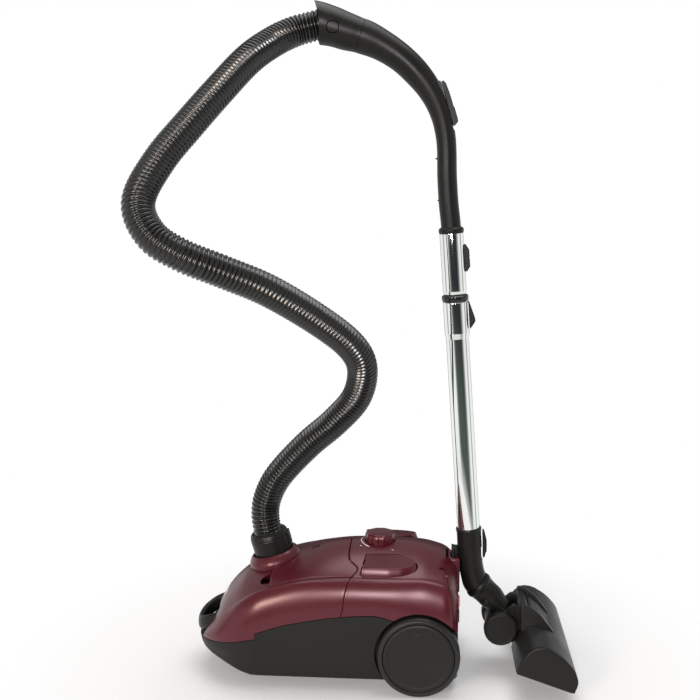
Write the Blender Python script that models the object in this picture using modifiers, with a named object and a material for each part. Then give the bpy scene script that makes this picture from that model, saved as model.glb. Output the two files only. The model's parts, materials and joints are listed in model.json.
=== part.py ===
"""Bagged canister vacuum cleaner with its hose, telescopic wand and floor head, parked upright.

Frame: +X runs from the nose to the rear, -Y is the side with the switch pedal, +Z is up.
The origin is on the floor, under the middle of the object without its hose.
Lengths below are millimetres; MM turns them into Blender's metres.
"""
import math

import bmesh
import bpy
import numpy as np
from mathutils import Vector

MM = 0.001
GAP = 0.3                 # clearance between pieces that touch
WALL = 2.4                # moulded shell wall

# ---- canister, driving dimensions ----
NOSE_X = -293.0
REAR_X = 118.0
FULL_WIDTH_X = -185.0     # where the rounded nose reaches full width
STEP_X = -192.0           # where the side seam steps up
REAR_CORNER = 22.0
BASE_TAPER = 9.0          # how much narrower each side is at the underside
DECK_SHARE = 0.81         # deck width as a share of the body width
DECK_PARAM = 0.6          # section parameter at the deck's edge
BACK_PANEL_LOW = 45.0
TOP_LINE = ((-293, 50), (-286, 64), (-274, 82), (-259, 106), (-246, 127), (-229, 146), (-213, 159),
            (-175, 174), (-132, 188), (-84, 202), (-40, 208), (10, 209), (53, 206), (91, 197),
            (108, 187), (118, 172))
DECK_EDGE_LINE = ((-293, 49.6), (-275, 72), (-250, 104), (-218, 134), (-174, 158), (-102, 175),
                  (-40, 178), (60, 178), (95, 171), (110, 161), (118, 148))
WIDTH_LINE = ((-185, 109), (0, 112), (118, 112))
FRONT_SEAM_LINE = ((-293, 48.5), (-280, 58), (-258, 66), (-238, 71), (-213, 78), (STEP_X, 83))
REAR_SEAM_LINE = ((STEP_X, 92), (-160, 103), (-143, 108), (-58, 123), (-13, 126), (21, 118),
                  (58, 100), (118, 93))
BOTTOM_LINE = ((-293, 46), (-285, 36), (-217, 20.5), (-195, 17), (118, 17))
SHELL_SEAM = ((0.0, -49), (0.28, -51), (0.36, -50), (0.5, -36), (0.6, -45), (0.75, -52), (1.0, -60))
LID_FRONT_X = -172.0
LID_HINGE = (-60.0, 200.2)
NOSE_INSERT_X = -251.0    # the middle of the pale insert on the nose
LID_SHARE = 0.985         # lid width as a share of the deck's width
SEAM_GAP = 1.0            # half the open seam between the shells
SIDE_SEAM_GAP = 1.3       # the shadow line between the shells and the base

# ---- inlet, knob and pedals ----
INLET_TILT = math.radians(15)
INLET_BASE = (-172.0, 0.0, 178.0)
CUFF_R = 31.0
CUFF_LENGTH = 44.0
RING_R = 42.0
HOSE_R = 22.5
KNOB_X = -4.0
KNOB_R = 24.0
KNOB_LOW = 203.0
KNOB_TOP = 221.5
PEDAL_TILT = math.radians(11)
PEDAL_HEIGHT = 24.0
PEDAL_OUTLINE = ((-24, -43), (24, -43), (42, -50), (54, -61), (58, -70), (50, -79), (34, -86),
                 (10, -89), (-33, -88))
PEDAL_PIVOT = (0.0, -43.0, 199.5)

# ---- wheels ----
AXLE_X = 58.0
WHEEL_R = 63.0
WHEEL_INNER_Y = 94.0
WHEEL_OUTER_Y = 121.0
CAP_R = 54.0
WELL_R = 67.0
WELL_Y = 84.0
AXLE_R = 6.0
CASTER_X = -200.0
CASTER_TRAIL = 9.0
CASTER_R = 12.0

# ---- wand ----
WAND_LEAN = math.radians(4.16)
WAND_FOOT = (135.6, 0.0, 225.0)
LOWER_TUBE_R = 17.5
SLEEVE_R = 18.0
INNER_TUBE_R = 15.5
LOWER_TUBE_TOP = 366.0    # distances along the wand from its foot
COLLAR_TOP = 376.0
SLEEVE_TOP = 470.0
HOSE_END_AXIS = (-26.0, 0.0, 8.0)
SLIDER_FOOT = (102.2, 850.0)
SLIDER_AXIS = (-0.277, 0.0, 0.961)

# ---- floor head ----
PIVOT = (186.0, 0.0, 79.0)
RING_CENTRE = (149.5, 0.0, 139.6)
SWIVEL_AXIS = (0.72, 0.0, -0.694)
ROLLER_R = 26.0
HEAD_HALF = 130.0
SOLE_REAR = (206.2, 43.8)
SOLE_FRONT = (288.4, 15.4)
HEAD_OUTLINE = ((204, 47), (207, 57), (217, 76), (232, 88), (245, 88), (266, 78), (282, 64), (293, 48),
                (296, 36), (291, 18))

# ---- hose route, from the inlet cuff to the hose end on the grip ----
HOSE_ROUTE_LOWER = ((-175.6, 0, 191.5), (-183.4, 0, 220.5), (-187, 0, 244), (-184.5, -1, 270),
                    (-171, -7, 302), (-149, -15, 332), (-112, -32, 373), (-72, -50, 411), (-38, -76, 455),
                    (-28, -105, 504))
HOSE_ROUTE_UPPER = ((-28, -105, 504), (-44, -135, 543), (-88, -174, 585), (-149, -222, 630),
                    (-205, -252, 658), (-258, -270, 682), (-297, -268, 708), (-316, -250, 750),
                    (-296, -208, 803), (-262, -164, 853), (-228, -120, 900), (-194, -72, 945),
                    (-164, -30, 973), (-137, -8, 989), (-112, -1, 997), (-88, 0, 1002.5))
HOSE_JOINT_AXIS = (-4.0, -31.0, 45.0)
HOSE_STEP = 36.0          # distance between the points of the hose's curve


# ---------------------------------------------------------------- scene and materials
def clear_scene():
    for obj in list(bpy.data.objects):
        bpy.data.objects.remove(obj, do_unlink=True)


def new_collection(name):
    collection = bpy.data.collections.new(name)
    bpy.context.scene.collection.children.link(collection)
    return collection


clear_scene()
PARTS = new_collection("canister_vacuum_cleaner")
CUTTERS = new_collection("cutters")


def material(name, colour, roughness, metallic=0.0):
    mat = bpy.data.materials.new(name)
    mat.use_nodes = True
    shader = mat.node_tree.nodes["Principled BSDF"]
    shader.inputs["Base Color"].default_value = (*colour, 1.0)
    shader.inputs["Roughness"].default_value = roughness
    shader.inputs["Metallic"].default_value = metallic
    return mat


BURGUNDY = ("burgundy", (0.11, 0.012, 0.02), 0.25, 0.2)
PALE_PINK = ("pale_pink", (0.35, 0.2, 0.2), 0.3, 0.0)
CHARCOAL = ("charcoal", (0.03, 0.03, 0.029), 0.55, 0.0)
BLACK = ("black", (0.015, 0.015, 0.015), 0.4, 0.0)
DARK_GREY = ("dark_grey", (0.05, 0.05, 0.05), 0.5, 0.0)
CHROME = ("chrome", (0.8, 0.8, 0.78), 0.05, 1.0)
STEEL = ("steel", (0.5, 0.5, 0.5), 0.3, 1.0)
PAPER = ("paper", (0.7, 0.62, 0.5), 0.9, 0.0)
FOAM = ("foam", (0.2, 0.22, 0.25), 0.95, 0.0)
CORD = ("cord", (0.02, 0.02, 0.02), 0.5, 0.0)
RED = ("red", (0.7, 0.12, 0.1), 0.4, 0.0)


def finish_part(obj, finish):
    name, colour, roughness, metallic = finish
    obj.data.materials.clear()
    obj.data.materials.append(material(obj.name + "_" + name, colour, roughness, metallic))
    return obj


def place(obj, collection):
    for owner in list(obj.users_collection):
        owner.objects.unlink(obj)
    collection.objects.link(obj)
    if collection is CUTTERS:
        obj.hide_render = True
        obj.display_type = "WIRE"
    return obj


def metres(point):
    return Vector(point) * MM


# ---------------------------------------------------------------- shape makers
def mesh_object(name, bm, finish, smooth=True):
    """A new object from a bmesh, as a part when it has a finish and as a cutter when it has none."""
    bmesh.ops.recalc_face_normals(bm, faces=bm.faces)
    mesh = bpy.data.meshes.new(name)
    bm.to_mesh(mesh)
    bm.free()
    obj = bpy.data.objects.new(name, mesh)
    if smooth:
        mesh.shade_smooth()
        mesh.set_sharp_from_angle(angle=math.radians(35))
    if finish is None:
        return place(obj, CUTTERS)
    place(obj, PARTS)
    return finish_part(obj, finish)


def box(name, low, high, finish, bevel=0.0):
    bm = bmesh.new()
    bmesh.ops.create_cube(bm, size=1.0)
    low, high = metres(low), metres(high)
    for vert in bm.verts:
        vert.co = Vector((c + 0.5) * (b - a) + a for c, a, b in zip(vert.co, low, high))
    obj = mesh_object(name, bm, finish, smooth=False)
    if bevel:
        edge = obj.modifiers.new("edge", "BEVEL")
        edge.width = bevel * MM
        edge.segments = 2
    return obj


def turned(name, profile, origin, axis, finish, steps=24):
    """A profile of (radius, height) turned about an axis through origin.

    It runs down the outer side and, on a hollow piece, up the inner side; a closed ring repeats its start.
    """
    bm = bmesh.new()
    verts = [bm.verts.new((r * MM, 0, z * MM)) for r, z in profile]
    hollow = profile[0][0] > 0 and profile[-1][0] > 0
    for start, end in zip(verts, verts[1:] + (verts[:1] if hollow else [])):
        bm.edges.new((start, end))
    mesh = bpy.data.meshes.new(name)
    bm.to_mesh(mesh)
    bm.free()
    obj = bpy.data.objects.new(name, mesh)
    obj.location = metres(origin)
    obj.rotation_mode = "QUATERNION"
    obj.rotation_quaternion = Vector((0, 0, 1)).rotation_difference(Vector(axis))
    screw = obj.modifiers.new("turn", "SCREW")
    screw.steps = screw.render_steps = steps
    screw.use_merge_vertices = True
    screw.merge_threshold = 0.00001
    screw.use_smooth_shade = True
    if finish is None:
        return place(obj, CUTTERS)
    place(obj, PARTS)
    return finish_part(obj, finish)


def rod(name, start, end, radius, finish, steps=20):
    start, end = Vector(start), Vector(end)
    length = (end - start).length
    return turned(name, ((0, length), (radius, length), (radius, 0), (0, 0)), start, end - start,
                  finish, steps)


def extruded(name, outline, y_low, y_high, finish, bevel=0.0):
    """An outline of (x, z) points extruded along Y."""
    bm = bmesh.new()
    verts = [bm.verts.new((x * MM, y_low * MM, z * MM)) for x, z in outline]
    face = bm.faces.new(verts)
    pushed = bmesh.ops.extrude_face_region(bm, geom=[face])
    moved = [v for v in pushed["geom"] if isinstance(v, bmesh.types.BMVert)]
    bmesh.ops.translate(bm, verts=moved, vec=(0, (y_high - y_low) * MM, 0))
    obj = mesh_object(name, bm, finish)
    if bevel:
        edge = obj.modifiers.new("edge", "BEVEL")
        edge.width = bevel * MM
        edge.segments = 2
        edge.angle_limit = math.radians(50)
    return obj


def ring_points(centre, tangent, in_plane, across, count):
    """An ellipse square to the tangent, which lies in the XZ plane."""
    tangent = Vector(tangent).normalized()
    side = Vector((0, 1, 0))
    up = side.cross(tangent)
    angles = [2 * math.pi * i / count for i in range(count)]
    return [Vector(centre) + up * (in_plane * math.cos(a)) + side * (across * math.sin(a)) for a in angles]


def station_tangents(centres):
    points = [Vector(c) for c in centres]
    last = len(points) - 1
    return [points[min(i + 1, last)] - points[max(i - 1, 0)] for i in range(len(points))]


def swept(name, stations, wall, finish, count=20, tangents=None):
    """A pipe lofted through stations of ((x, z), in-plane radius, across radius); wall 0 is solid."""
    centres = [(x, 0, z) for (x, z), _, _ in stations]
    tangents = tangents or station_tangents(centres)
    bm = bmesh.new()

    def rings(thinner):
        rows = []
        for centre, tangent, (_, in_plane, across) in zip(centres, tangents, stations):
            points = ring_points(centre, tangent, in_plane - thinner, across - thinner, count)
            rows.append([bm.verts.new(p * MM) for p in points])
        return rows

    def skin(row_a, row_b):
        for i in range(count):
            j = (i + 1) % count
            bm.faces.new((row_a[i], row_a[j], row_b[j], row_b[i]))

    outer = rings(0)
    for row_a, row_b in zip(outer, outer[1:]):
        skin(row_a, row_b)
    if wall:
        inner = rings(wall)
        for row_a, row_b in zip(inner, inner[1:]):
            skin(row_b, row_a)
        skin(inner[0], outer[0])
        skin(outer[-1], inner[-1])
    else:
        bm.faces.new(outer[0])
        bm.faces.new(outer[-1])
    return mesh_object(name, bm, finish)


def boolean(target, tool, operation):
    step = target.modifiers.new(operation.lower(), "BOOLEAN")
    step.operation = operation
    step.solver = "EXACT"
    step.object = tool
    return target


def cut(target, *tools):
    for tool in tools:
        boolean(target, tool, "DIFFERENCE")
    return target


def join(target, *tools):
    for tool in tools:
        boolean(target, tool, "UNION")
    return target


# ---------------------------------------------------------------- the canister's outer surface
def through(points, x):
    """The smooth monotone curve through (x, value) points, flat beyond its ends."""
    xs, ys = np.array(points, dtype=float).T
    steps = np.diff(xs)
    rises = np.diff(ys) / steps
    slopes = np.concatenate(([rises[0]], np.zeros(len(xs) - 2), [rises[-1]]))
    for i in range(1, len(xs) - 1):
        if rises[i - 1] * rises[i] > 0:
            slopes[i] = 2 * rises[i - 1] * rises[i] / (rises[i - 1] + rises[i])
    x = min(max(x, xs[0]), xs[-1])
    i = min(max(int(np.searchsorted(xs, x)) - 1, 0), len(steps) - 1)
    t = (x - xs[i]) / steps[i]
    return float((2 * t ** 3 - 3 * t ** 2 + 1) * ys[i] + (t ** 3 - 2 * t ** 2 + t) * steps[i] * slopes[i]
                 + (3 * t ** 2 - 2 * t ** 3) * ys[i + 1] + (t ** 3 - t ** 2) * steps[i] * slopes[i + 1])


def smoothstep(low, high, x):
    t = min(max((x - low) / (high - low), 0.0), 1.0)
    return t * t * (3 - 2 * t)


def half_width(x):
    if x < FULL_WIDTH_X:
        u = (FULL_WIDTH_X - x) / (FULL_WIDTH_X - NOSE_X)
        return WIDTH_LINE[0][1] * math.sqrt(max(1 - u * u, 0.0))
    width = through(WIDTH_LINE, x)
    bend = REAR_X - REAR_CORNER
    if x > bend:
        width += math.sqrt(max(REAR_CORNER ** 2 - (x - bend) ** 2, 0.0)) - REAR_CORNER
    return width


def seam_height(x):
    return through(FRONT_SEAM_LINE if x < STEP_X else REAR_SEAM_LINE, x)


def body_point(x, s):
    """A point of the upper body: s is 0 on top, 0.6 at the deck's edge and 1 at the side seam."""
    side = -1 if s < 0 else 1
    s = abs(s)
    width, top, seam = half_width(x), through(TOP_LINE, x), seam_height(x)
    edge_y, edge_z = DECK_SHARE * width, through(DECK_EDGE_LINE, x)
    dome_angle = 0.5 * math.pi * s
    dome = (width * math.sin(dome_angle), seam + (top - seam) * math.cos(dome_angle) ** 0.8)
    if s <= DECK_PARAM:
        y = edge_y * s / DECK_PARAM
        creased = (y, top - (top - edge_z) * (y / max(edge_y, 1e-6)) ** 1.7)
    else:
        t = (s - DECK_PARAM) / (1 - DECK_PARAM)
        low = seam + 0.25 * (edge_z - seam)
        turn = 0.5 * math.pi * min(t / 0.75, 1.0)
        y = edge_y + (width - edge_y) * math.sin(turn)
        z = low + (edge_z - low) * math.cos(turn)
        if t > 0.75:
            z = low + (seam - low) * (t - 0.75) / 0.25
        creased = (y, z)
    share = smoothstep(-262, -205, x)
    y = dome[0] + share * (creased[0] - dome[0])
    z = dome[1] + share * (creased[1] - dome[1])
    return Vector((x, side * y, z))


def seam_x(s):
    return through(SHELL_SEAM, abs(s))


def grid_shell(name, point_at, columns, rows, keep, finish, wall=WALL):
    """A wall on a grid of surface points; keep(column, row) says which cells exist."""
    bm = bmesh.new()
    verts = [[bm.verts.new(point_at(s, r) * MM) for s in columns] for r in rows]
    for i in range(len(rows) - 1):
        for j in range(len(columns) - 1):
            if keep(0.5 * (columns[j] + columns[j + 1]), 0.5 * (rows[i] + rows[i + 1])):
                bm.faces.new((verts[i][j], verts[i][j + 1], verts[i + 1][j + 1], verts[i + 1][j]))
    for vert in [v for v in bm.verts if not v.link_faces]:
        bm.verts.remove(vert)
    centre = Vector((0, 0, 100)) * MM
    bm.normal_update()
    upward = sum(f.normal.dot(f.calc_center_median() - centre) for f in bm.faces)
    if upward < 0:
        bmesh.ops.reverse_faces(bm, faces=bm.faces)
    mesh = bpy.data.meshes.new(name)
    bm.to_mesh(mesh)
    bm.free()
    mesh.shade_smooth()
    obj = bpy.data.objects.new(name, mesh)
    solid = obj.modifiers.new("wall", "SOLIDIFY")
    solid.thickness = wall * MM
    solid.offset = -1.0
    place(obj, PARTS)
    return finish_part(obj, finish)


def side_columns(low, high, count):
    return [low + (high - low) * i / count for i in range(count + 1)]


DECK_COLUMNS = side_columns(-DECK_PARAM, DECK_PARAM, 8)
SIDE_COLUMNS = side_columns(DECK_PARAM, 1.0, 5)
ALL_COLUMNS = [-s for s in reversed(SIDE_COLUMNS[1:])] + DECK_COLUMNS + SIDE_COLUMNS[1:]


def nose_rows(count):
    """X positions from the nose to the step in the side seam, closest where the plan turns quickly."""
    start = NOSE_X + 0.8
    return [start + (STEP_X - 0.2 - start) * (i / count) ** 1.7 for i in range(count + 1)]


def make_upper_shells():
    front_end = LID_FRONT_X - GAP
    front_rows = nose_rows(9) + [STEP_X + 0.2, front_end]
    lid_rows = [i / 4 for i in range(1, 5)]

    def front_point(s, r):
        """Rows below zero are X positions, and the others are shares of the way on to the seam."""
        if r < 0:
            return body_point(r, s)
        return body_point(front_end + (seam_x(s) - SEAM_GAP - front_end) * r, s)

    front = grid_shell("front_shell", front_point, ALL_COLUMNS, front_rows + lid_rows,
                       lambda s, r: abs(s) > DECK_PARAM or r < front_end, BURGUNDY)

    lid_columns = [s * LID_SHARE for s in DECK_COLUMNS]

    def lid_point(s, r):
        start = LID_FRONT_X + GAP
        return body_point(start + (seam_x(s) - SEAM_GAP - start) * r, s)

    lid = grid_shell("bag_lid", lid_point, lid_columns, side_columns(0, 1, 6), lambda s, r: True, BURGUNDY)

    def rear_point(s, r):
        start = seam_x(s) + SEAM_GAP
        span = REAR_X - start
        straight = 1 - REAR_CORNER / span
        if r <= 1:
            return body_point(start + span * straight * r, s)
        return body_point(REAR_X - REAR_CORNER * (1 - math.sin(0.5 * math.pi * (r - 1))), s)

    rear_rows = side_columns(0, 1, 6) + [1.33, 1.67, 2.0]
    rear = grid_shell("rear_shell", rear_point, ALL_COLUMNS, rear_rows, lambda s, r: True, BURGUNDY)

    inlet_axis = (-math.sin(INLET_TILT), 0, math.cos(INLET_TILT))
    hole = turned("inlet_hole_cutter", ((0, 60), (RING_R + GAP, 60), (RING_R + GAP, -60), (0, -60)),
                  INLET_BASE, inlet_axis, None, 32)
    cut(front, hole)
    cut(lid, hole)
    wells = make_wells("arch_cutter", WELL_R, WELL_Y, 20)
    cut(rear, *wells)
    knob_hole = turned("knob_hole_cutter", ((0, 40), (KNOB_R + 0.6, 40), (KNOB_R + 0.6, -20), (0, -20)),
                       (KNOB_X, 0, 195), (0, 0, 1), None, 24)
    cut(rear, knob_hole)
    for side in (-1, 1):
        cut(rear, make_pedal("pedal_hole_cutter", side, None, 0.8))
    bracket_notch = box("bracket_notch_cutter", (100, -22, 128), (140, 22, 230), None)
    cut(rear, bracket_notch)
    recess = box("handle_recess_cutter", (-320, -50, 57), (-251.5, 50, 108), None, 8)
    cut(front, recess)
    window = box("lid_window_cutter", (-112, -9, 180), (-100, 1, 215), None)
    cut(lid, window)
    cut(front, nose_insert_box("nose_window_cutter", (16.8, 40.8, 14.0), None))
    for side in (-1, 1):
        notch = box("finger_notch_cutter", (-187, side * 66 - 9, 148), (LID_FRONT_X + 4, side * 66 + 9, 190),
                    None)
        cut(front, notch)


def nose_insert_box(name, size, finish):
    """A plate lying in the nose's top surface, with its first size running up the slope."""
    x = NOSE_INSERT_X
    low, high = through(TOP_LINE, x - 5), through(TOP_LINE, x + 5)
    slope = Vector((10, 0, high - low)).normalized()
    out = Vector((-slope.z, 0, slope.x))
    return oriented_box(name, Vector((x, 0, 0.5 * (low + high))) - out * 1.6, slope, out, size, finish)


def make_wells(name, radius, inner_y, steps):
    """Round cutters for the two wheel wells."""
    cutters = []
    for side in (-1, 1):
        profile = ((0, 60), (radius, 60), (radius, 0), (0, 0))
        cutters.append(turned(name, profile, (AXLE_X, side * inner_y, WHEEL_R), (0, side, 0), None, steps))
    return cutters


def make_pedal(name, side, finish, grow=0.0):
    """A D-shaped pad, flat on top and tipped down towards the body's side."""
    centre = Vector((12.0, -66.0, 0.0))
    bm = bmesh.new()
    verts = []
    for x, y in PEDAL_OUTLINE:
        point = Vector((x, y, 0.0))
        point += (point - centre).normalized() * grow
        fall = (PEDAL_PIVOT[1] - point.y) * math.tan(PEDAL_TILT)
        verts.append(bm.verts.new(metres((point.x, point.y * -side, PEDAL_PIVOT[2] - fall + 4 * grow))))
    face = bm.faces.new(verts)
    pushed = bmesh.ops.extrude_face_region(bm, geom=[face])
    moved = [v for v in pushed["geom"] if isinstance(v, bmesh.types.BMVert)]
    bmesh.ops.translate(bm, verts=moved, vec=(0, 0, -(PEDAL_HEIGHT + 8 * grow) * MM))
    obj = mesh_object(name, bm, finish)
    if finish:
        edge = obj.modifiers.new("edge", "BEVEL")
        edge.width = 1.2 * MM
        edge.segments = 2
        edge.angle_limit = math.radians(50)
    return obj


# ---------------------------------------------------------------- base housing
def base_section(x, inset):
    """Half of the base's section from the side seam down to the middle of the underside."""
    gap = SIDE_SEAM_GAP * (2 - smoothstep(-285, -250, x))
    width, seam, low = half_width(x) - inset, seam_height(x) - gap, through(BOTTOM_LINE, x) + inset
    width = max(width, 4.0)
    narrow = min(BASE_TAPER, 0.35 * width)
    drop = seam - low
    corner = min(9.0, 0.4 * drop, 0.3 * width)
    if inset:
        seam += 20.0
    return [(width, seam), (width - 0.4 * narrow, low + 0.5 * drop), (width - narrow, low + corner),
            (width - narrow - 0.3 * corner, low + 0.3 * corner), (width - narrow - corner, low), (0, low)]


def base_solid(name, xs, inset, finish):
    bm = bmesh.new()
    rows = []
    for x in xs:
        half = base_section(x, inset)
        points = half + [(-y, z) for y, z in reversed(half[:-1])]
        rows.append([bm.verts.new(metres((x, y, z))) for y, z in points])
    for row_a, row_b in zip(rows, rows[1:]):
        for i in range(len(row_a)):
            j = (i + 1) % len(row_a)
            bm.faces.new((row_a[i], row_a[j], row_b[j], row_b[i]))
    bm.faces.new(rows[0])
    bm.faces.new(rows[-1])
    return mesh_object(name, bm, finish)


def make_base():
    nose_xs = nose_rows(9)
    rear_xs = [STEP_X + 3.0, -160, -143, -100, -58, -13, 21, 58, 96, 107, 114, REAR_X]
    base = base_solid("base_housing", nose_xs + rear_xs, 0.0, CHARCOAL)
    cavity_nose = [x + 4.0 for x in nose_xs[2:-1]]
    cavity_rear = [-190, -160, -143, -100, -58, -13, 21, 58, 96, 107, REAR_X - WALL]
    cavity = base_solid("base_cavity_cutter", cavity_nose + cavity_rear, WALL, None)
    cut(cavity, *make_wells("cavity_well_cutter", WELL_R + WALL, WELL_Y - WALL, 24))
    cut(base, *make_wells("well_cutter", WELL_R, WELL_Y, 24))
    cut(base, cavity)
    caster_hole = turned("caster_hole_cutter", ((0, 30), (31.3, 30), (31.3, -10), (0, -10)),
                         (CASTER_X, 0, 10), (0, 0, 1), None, 28)
    cut(base, caster_hole)
    rear_opening = box("base_rear_cutter", (108, -83.5, BACK_PANEL_LOW - GAP), (140, 83.5, 200), None)
    cut(base, rear_opening)


def make_rear_panel():
    """The upright back cover with its exhaust slots, under the rear shell's end."""
    edge = []
    for s in side_columns(0, 0.92, 8):
        point = body_point(REAR_X, s)
        edge.append((point.y * 0.955, point.z - WALL - 1.2))
    edge.append((83.0, BACK_PANEL_LOW + 47))
    edge.append((83.0, BACK_PANEL_LOW))
    points = edge + [(-y, z) for y, z in reversed(edge) if y > 0.01]
    bm = bmesh.new()
    face = bm.faces.new([bm.verts.new(metres((REAR_X - 3.0, y, z))) for y, z in points])
    pushed = bmesh.ops.extrude_face_region(bm, geom=[face])
    moved = [v for v in pushed["geom"] if isinstance(v, bmesh.types.BMVert)]
    bmesh.ops.translate(bm, verts=moved, vec=(2.6 * MM, 0, 0))
    panel = mesh_object("rear_panel", bm, BURGUNDY, smooth=False)
    cut(panel, box("panel_notch_cutter", (100, -22, 129.5), (140, 22, 230), None))
    for i in range(4):
        low = 54 + 9 * i
        cut(panel, box("exhaust_slot_cutter", (105, 12, low), (130, 66, low + 4), None))
    cut(panel, box("outlet_cutter", (105, -52, 92), (130, -26, 134), None))


# ---------------------------------------------------------------- canister details
def make_inlet():
    axis = (-math.sin(INLET_TILT), 0, math.cos(INLET_TILT))
    ring = ((CUFF_R + 0.5, 9), (CUFF_R + 3.5, 10), (RING_R - 3, 6), (RING_R, -1), (RING_R, -22),
            (CUFF_R + 0.5, -22))
    turned("inlet_ring", ring, INLET_BASE, axis, BURGUNDY, 32)
    top = CUFF_LENGTH
    cuff = ((HOSE_R + 0.6, top - 2), (HOSE_R + 3.5, top), (CUFF_R - 1.5, top - 4), (CUFF_R, top - 9),
            (CUFF_R - 0.6, -18), (CUFF_R - 4.0, -20), (CUFF_R - 4.0, -30), (HOSE_R, -30), (HOSE_R, -2),
            (HOSE_R + 0.6, -1))
    body = turned("hose_cuff", cuff, INLET_BASE, axis, BLACK, 24)
    side = Vector((math.cos(INLET_TILT), 0, math.sin(INLET_TILT)))
    out = Vector(axis)
    pocket = oriented_box("cuff_latch_cutter", Vector(INLET_BASE) + side * (CUFF_R - 2.4) + out * 26,
                          side, out, (8.8, 18.8, 24.8), None)
    cut(body, pocket)
    oriented_box("cuff_latch", Vector(INLET_BASE) + side * (CUFF_R - 1.4) + out * 26, side, out,
                 (5.4, 17.4, 23.4), BLACK)


def oriented_box(name, centre, side, out, size, finish):
    """A box whose first size runs along side, second along Y and third along out."""
    bm = bmesh.new()
    bmesh.ops.create_cube(bm, size=1.0)
    side, out = Vector(side).normalized(), Vector(out).normalized()
    across = out.cross(side)
    for vert in bm.verts:
        local = vert.co.copy()
        vert.co = (Vector(centre) + side * local.x * size[0] + across * local.y * size[1]
                   + out * local.z * size[2]) * MM
    return mesh_object(name, bm, finish, smooth=False)


def make_knob():
    profile = [(0, KNOB_TOP - KNOB_LOW), (KNOB_R - 3.5, KNOB_TOP - KNOB_LOW),
               (KNOB_R - 1, KNOB_TOP - KNOB_LOW - 2), (KNOB_R, KNOB_TOP - KNOB_LOW - 6), (KNOB_R, 0),
               (8, 0), (8, -12), (0, -12)]
    turned("power_knob", profile, (KNOB_X, 0, KNOB_LOW), (0, 0, 1), BURGUNDY, 24)


def make_wheels():
    for side, word in ((-1, "left"), (1, "right")):
        axis = (0, side, 0)
        width = WHEEL_OUTER_Y - WHEEL_INNER_Y
        tyre = ((WHEEL_R - 2.5, width), (WHEEL_R, width - 3), (WHEEL_R, 3), (WHEEL_R - 3, 0),
                (CAP_R + GAP, 0), (CAP_R + GAP, width))
        turned("rear_wheel_" + word, tyre, (AXLE_X, side * WHEEL_INNER_Y, WHEEL_R), axis, CHARCOAL, 32)
        cap = ((0, width + 1.5), (CAP_R - 5, width + 1.5), (CAP_R, width - 0.5), (CAP_R, 4), (16, 4),
               (16, 0), (AXLE_R + 0.3, 0), (AXLE_R + 0.3, width - 8), (0, width - 8))
        turned("wheel_cap_" + word, cap, (AXLE_X, side * WHEEL_INNER_Y, WHEEL_R), axis, CHARCOAL, 28)
        pin = ((0, 26), (AXLE_R, 26), (AXLE_R, 4), (12, 4), (12, 0), (0, 0))
        turned("wheel_axle_" + word, pin, (AXLE_X, side * (WELL_Y + GAP), WHEEL_R), axis, STEEL, 14)


def make_caster():
    cup = ((4.3, 17), (10, 17), (10, 14), (31, 14), (31, 0), (28.6, 0), (28.6, 11.5), (4.3, 11.5))
    turned("caster_housing", cup, (CASTER_X, 0, 17.2), (0, 0, 1), CHARCOAL, 20)
    top = 28.2
    fork = turned("caster_fork", ((0, 8), (4, 8), (4, 0), (27.5, 0), (27.5, -2.4), (0, -2.4)),
                  (CASTER_X, 0, top), (0, 0, 1), BLACK, 18)
    wheel_x = CASTER_X + CASTER_TRAIL
    for side in (-1, 1):
        low, high = sorted((side * 8.3, side * 11.3))
        cheek = box("caster_cheek", (wheel_x - 8, low, 7.5), (wheel_x + 8, high, top - 1), None)
        join(fork, cheek)
    cut(fork, rod("caster_bore_cutter", (wheel_x, -20, CASTER_R), (wheel_x, 20, CASTER_R), 2.3, None, 12))
    wheel = ((2.3, 7.5), (CASTER_R - 1, 7.5), (CASTER_R, 6.5), (CASTER_R, -6.5), (CASTER_R - 1, -7.5),
             (2.3, -7.5))
    turned("caster_wheel", wheel, (wheel_x, 0, CASTER_R), (0, 1, 0), DARK_GREY, 16)
    rod("caster_axle", (wheel_x, -11.5, CASTER_R), (wheel_x, 11.5, CASTER_R), 2.0, STEEL, 12)


def make_handle():
    """The carry loop: a bowed bar across the nose, with a pocket behind it for the fingers."""
    bar = swept_bar("carry_handle", ((-255, -45, 88), (-272, -40, 82), (-285, -28, 75), (-291, 0, 71),
                                     (-285, 28, 75), (-272, 40, 82), (-255, 45, 88)), 6.0, 12.0, BLACK)
    back = box("handle_pocket", (-250.8, -49, 56), (-247, 49, 104), None)
    for side in (-1, 1):
        low, high = sorted((side * 41.5, side * 47))
        join(bar, box("handle_cheek", (-262, low, 72), (-249, high, 98), None))
    join(bar, back)


def swept_bar(name, points, half_thick, half_tall, finish, count=12):
    """A bar of oval section bent in plan through the points, its tall side near vertical."""
    bm = bmesh.new()
    rows = []
    tangents = station_tangents(points)
    for point, tangent in zip(points, tangents):
        flat = Vector((tangent.x, tangent.y, 0)).normalized()
        out = Vector((flat.y, -flat.x, 0))
        up = Vector((0, 0, 1))
        rows.append([bm.verts.new((Vector(point) + out * half_thick * math.cos(a)
                                   + up * half_tall * math.sin(a)) * MM)
                     for a in [2 * math.pi * i / count for i in range(count)]])
    for row_a, row_b in zip(rows, rows[1:]):
        for i in range(count):
            j = (i + 1) % count
            bm.faces.new((row_a[i], row_a[j], row_b[j], row_b[i]))
    bm.faces.new(rows[0])
    bm.faces.new(rows[-1])
    return mesh_object(name, bm, finish)


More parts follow.
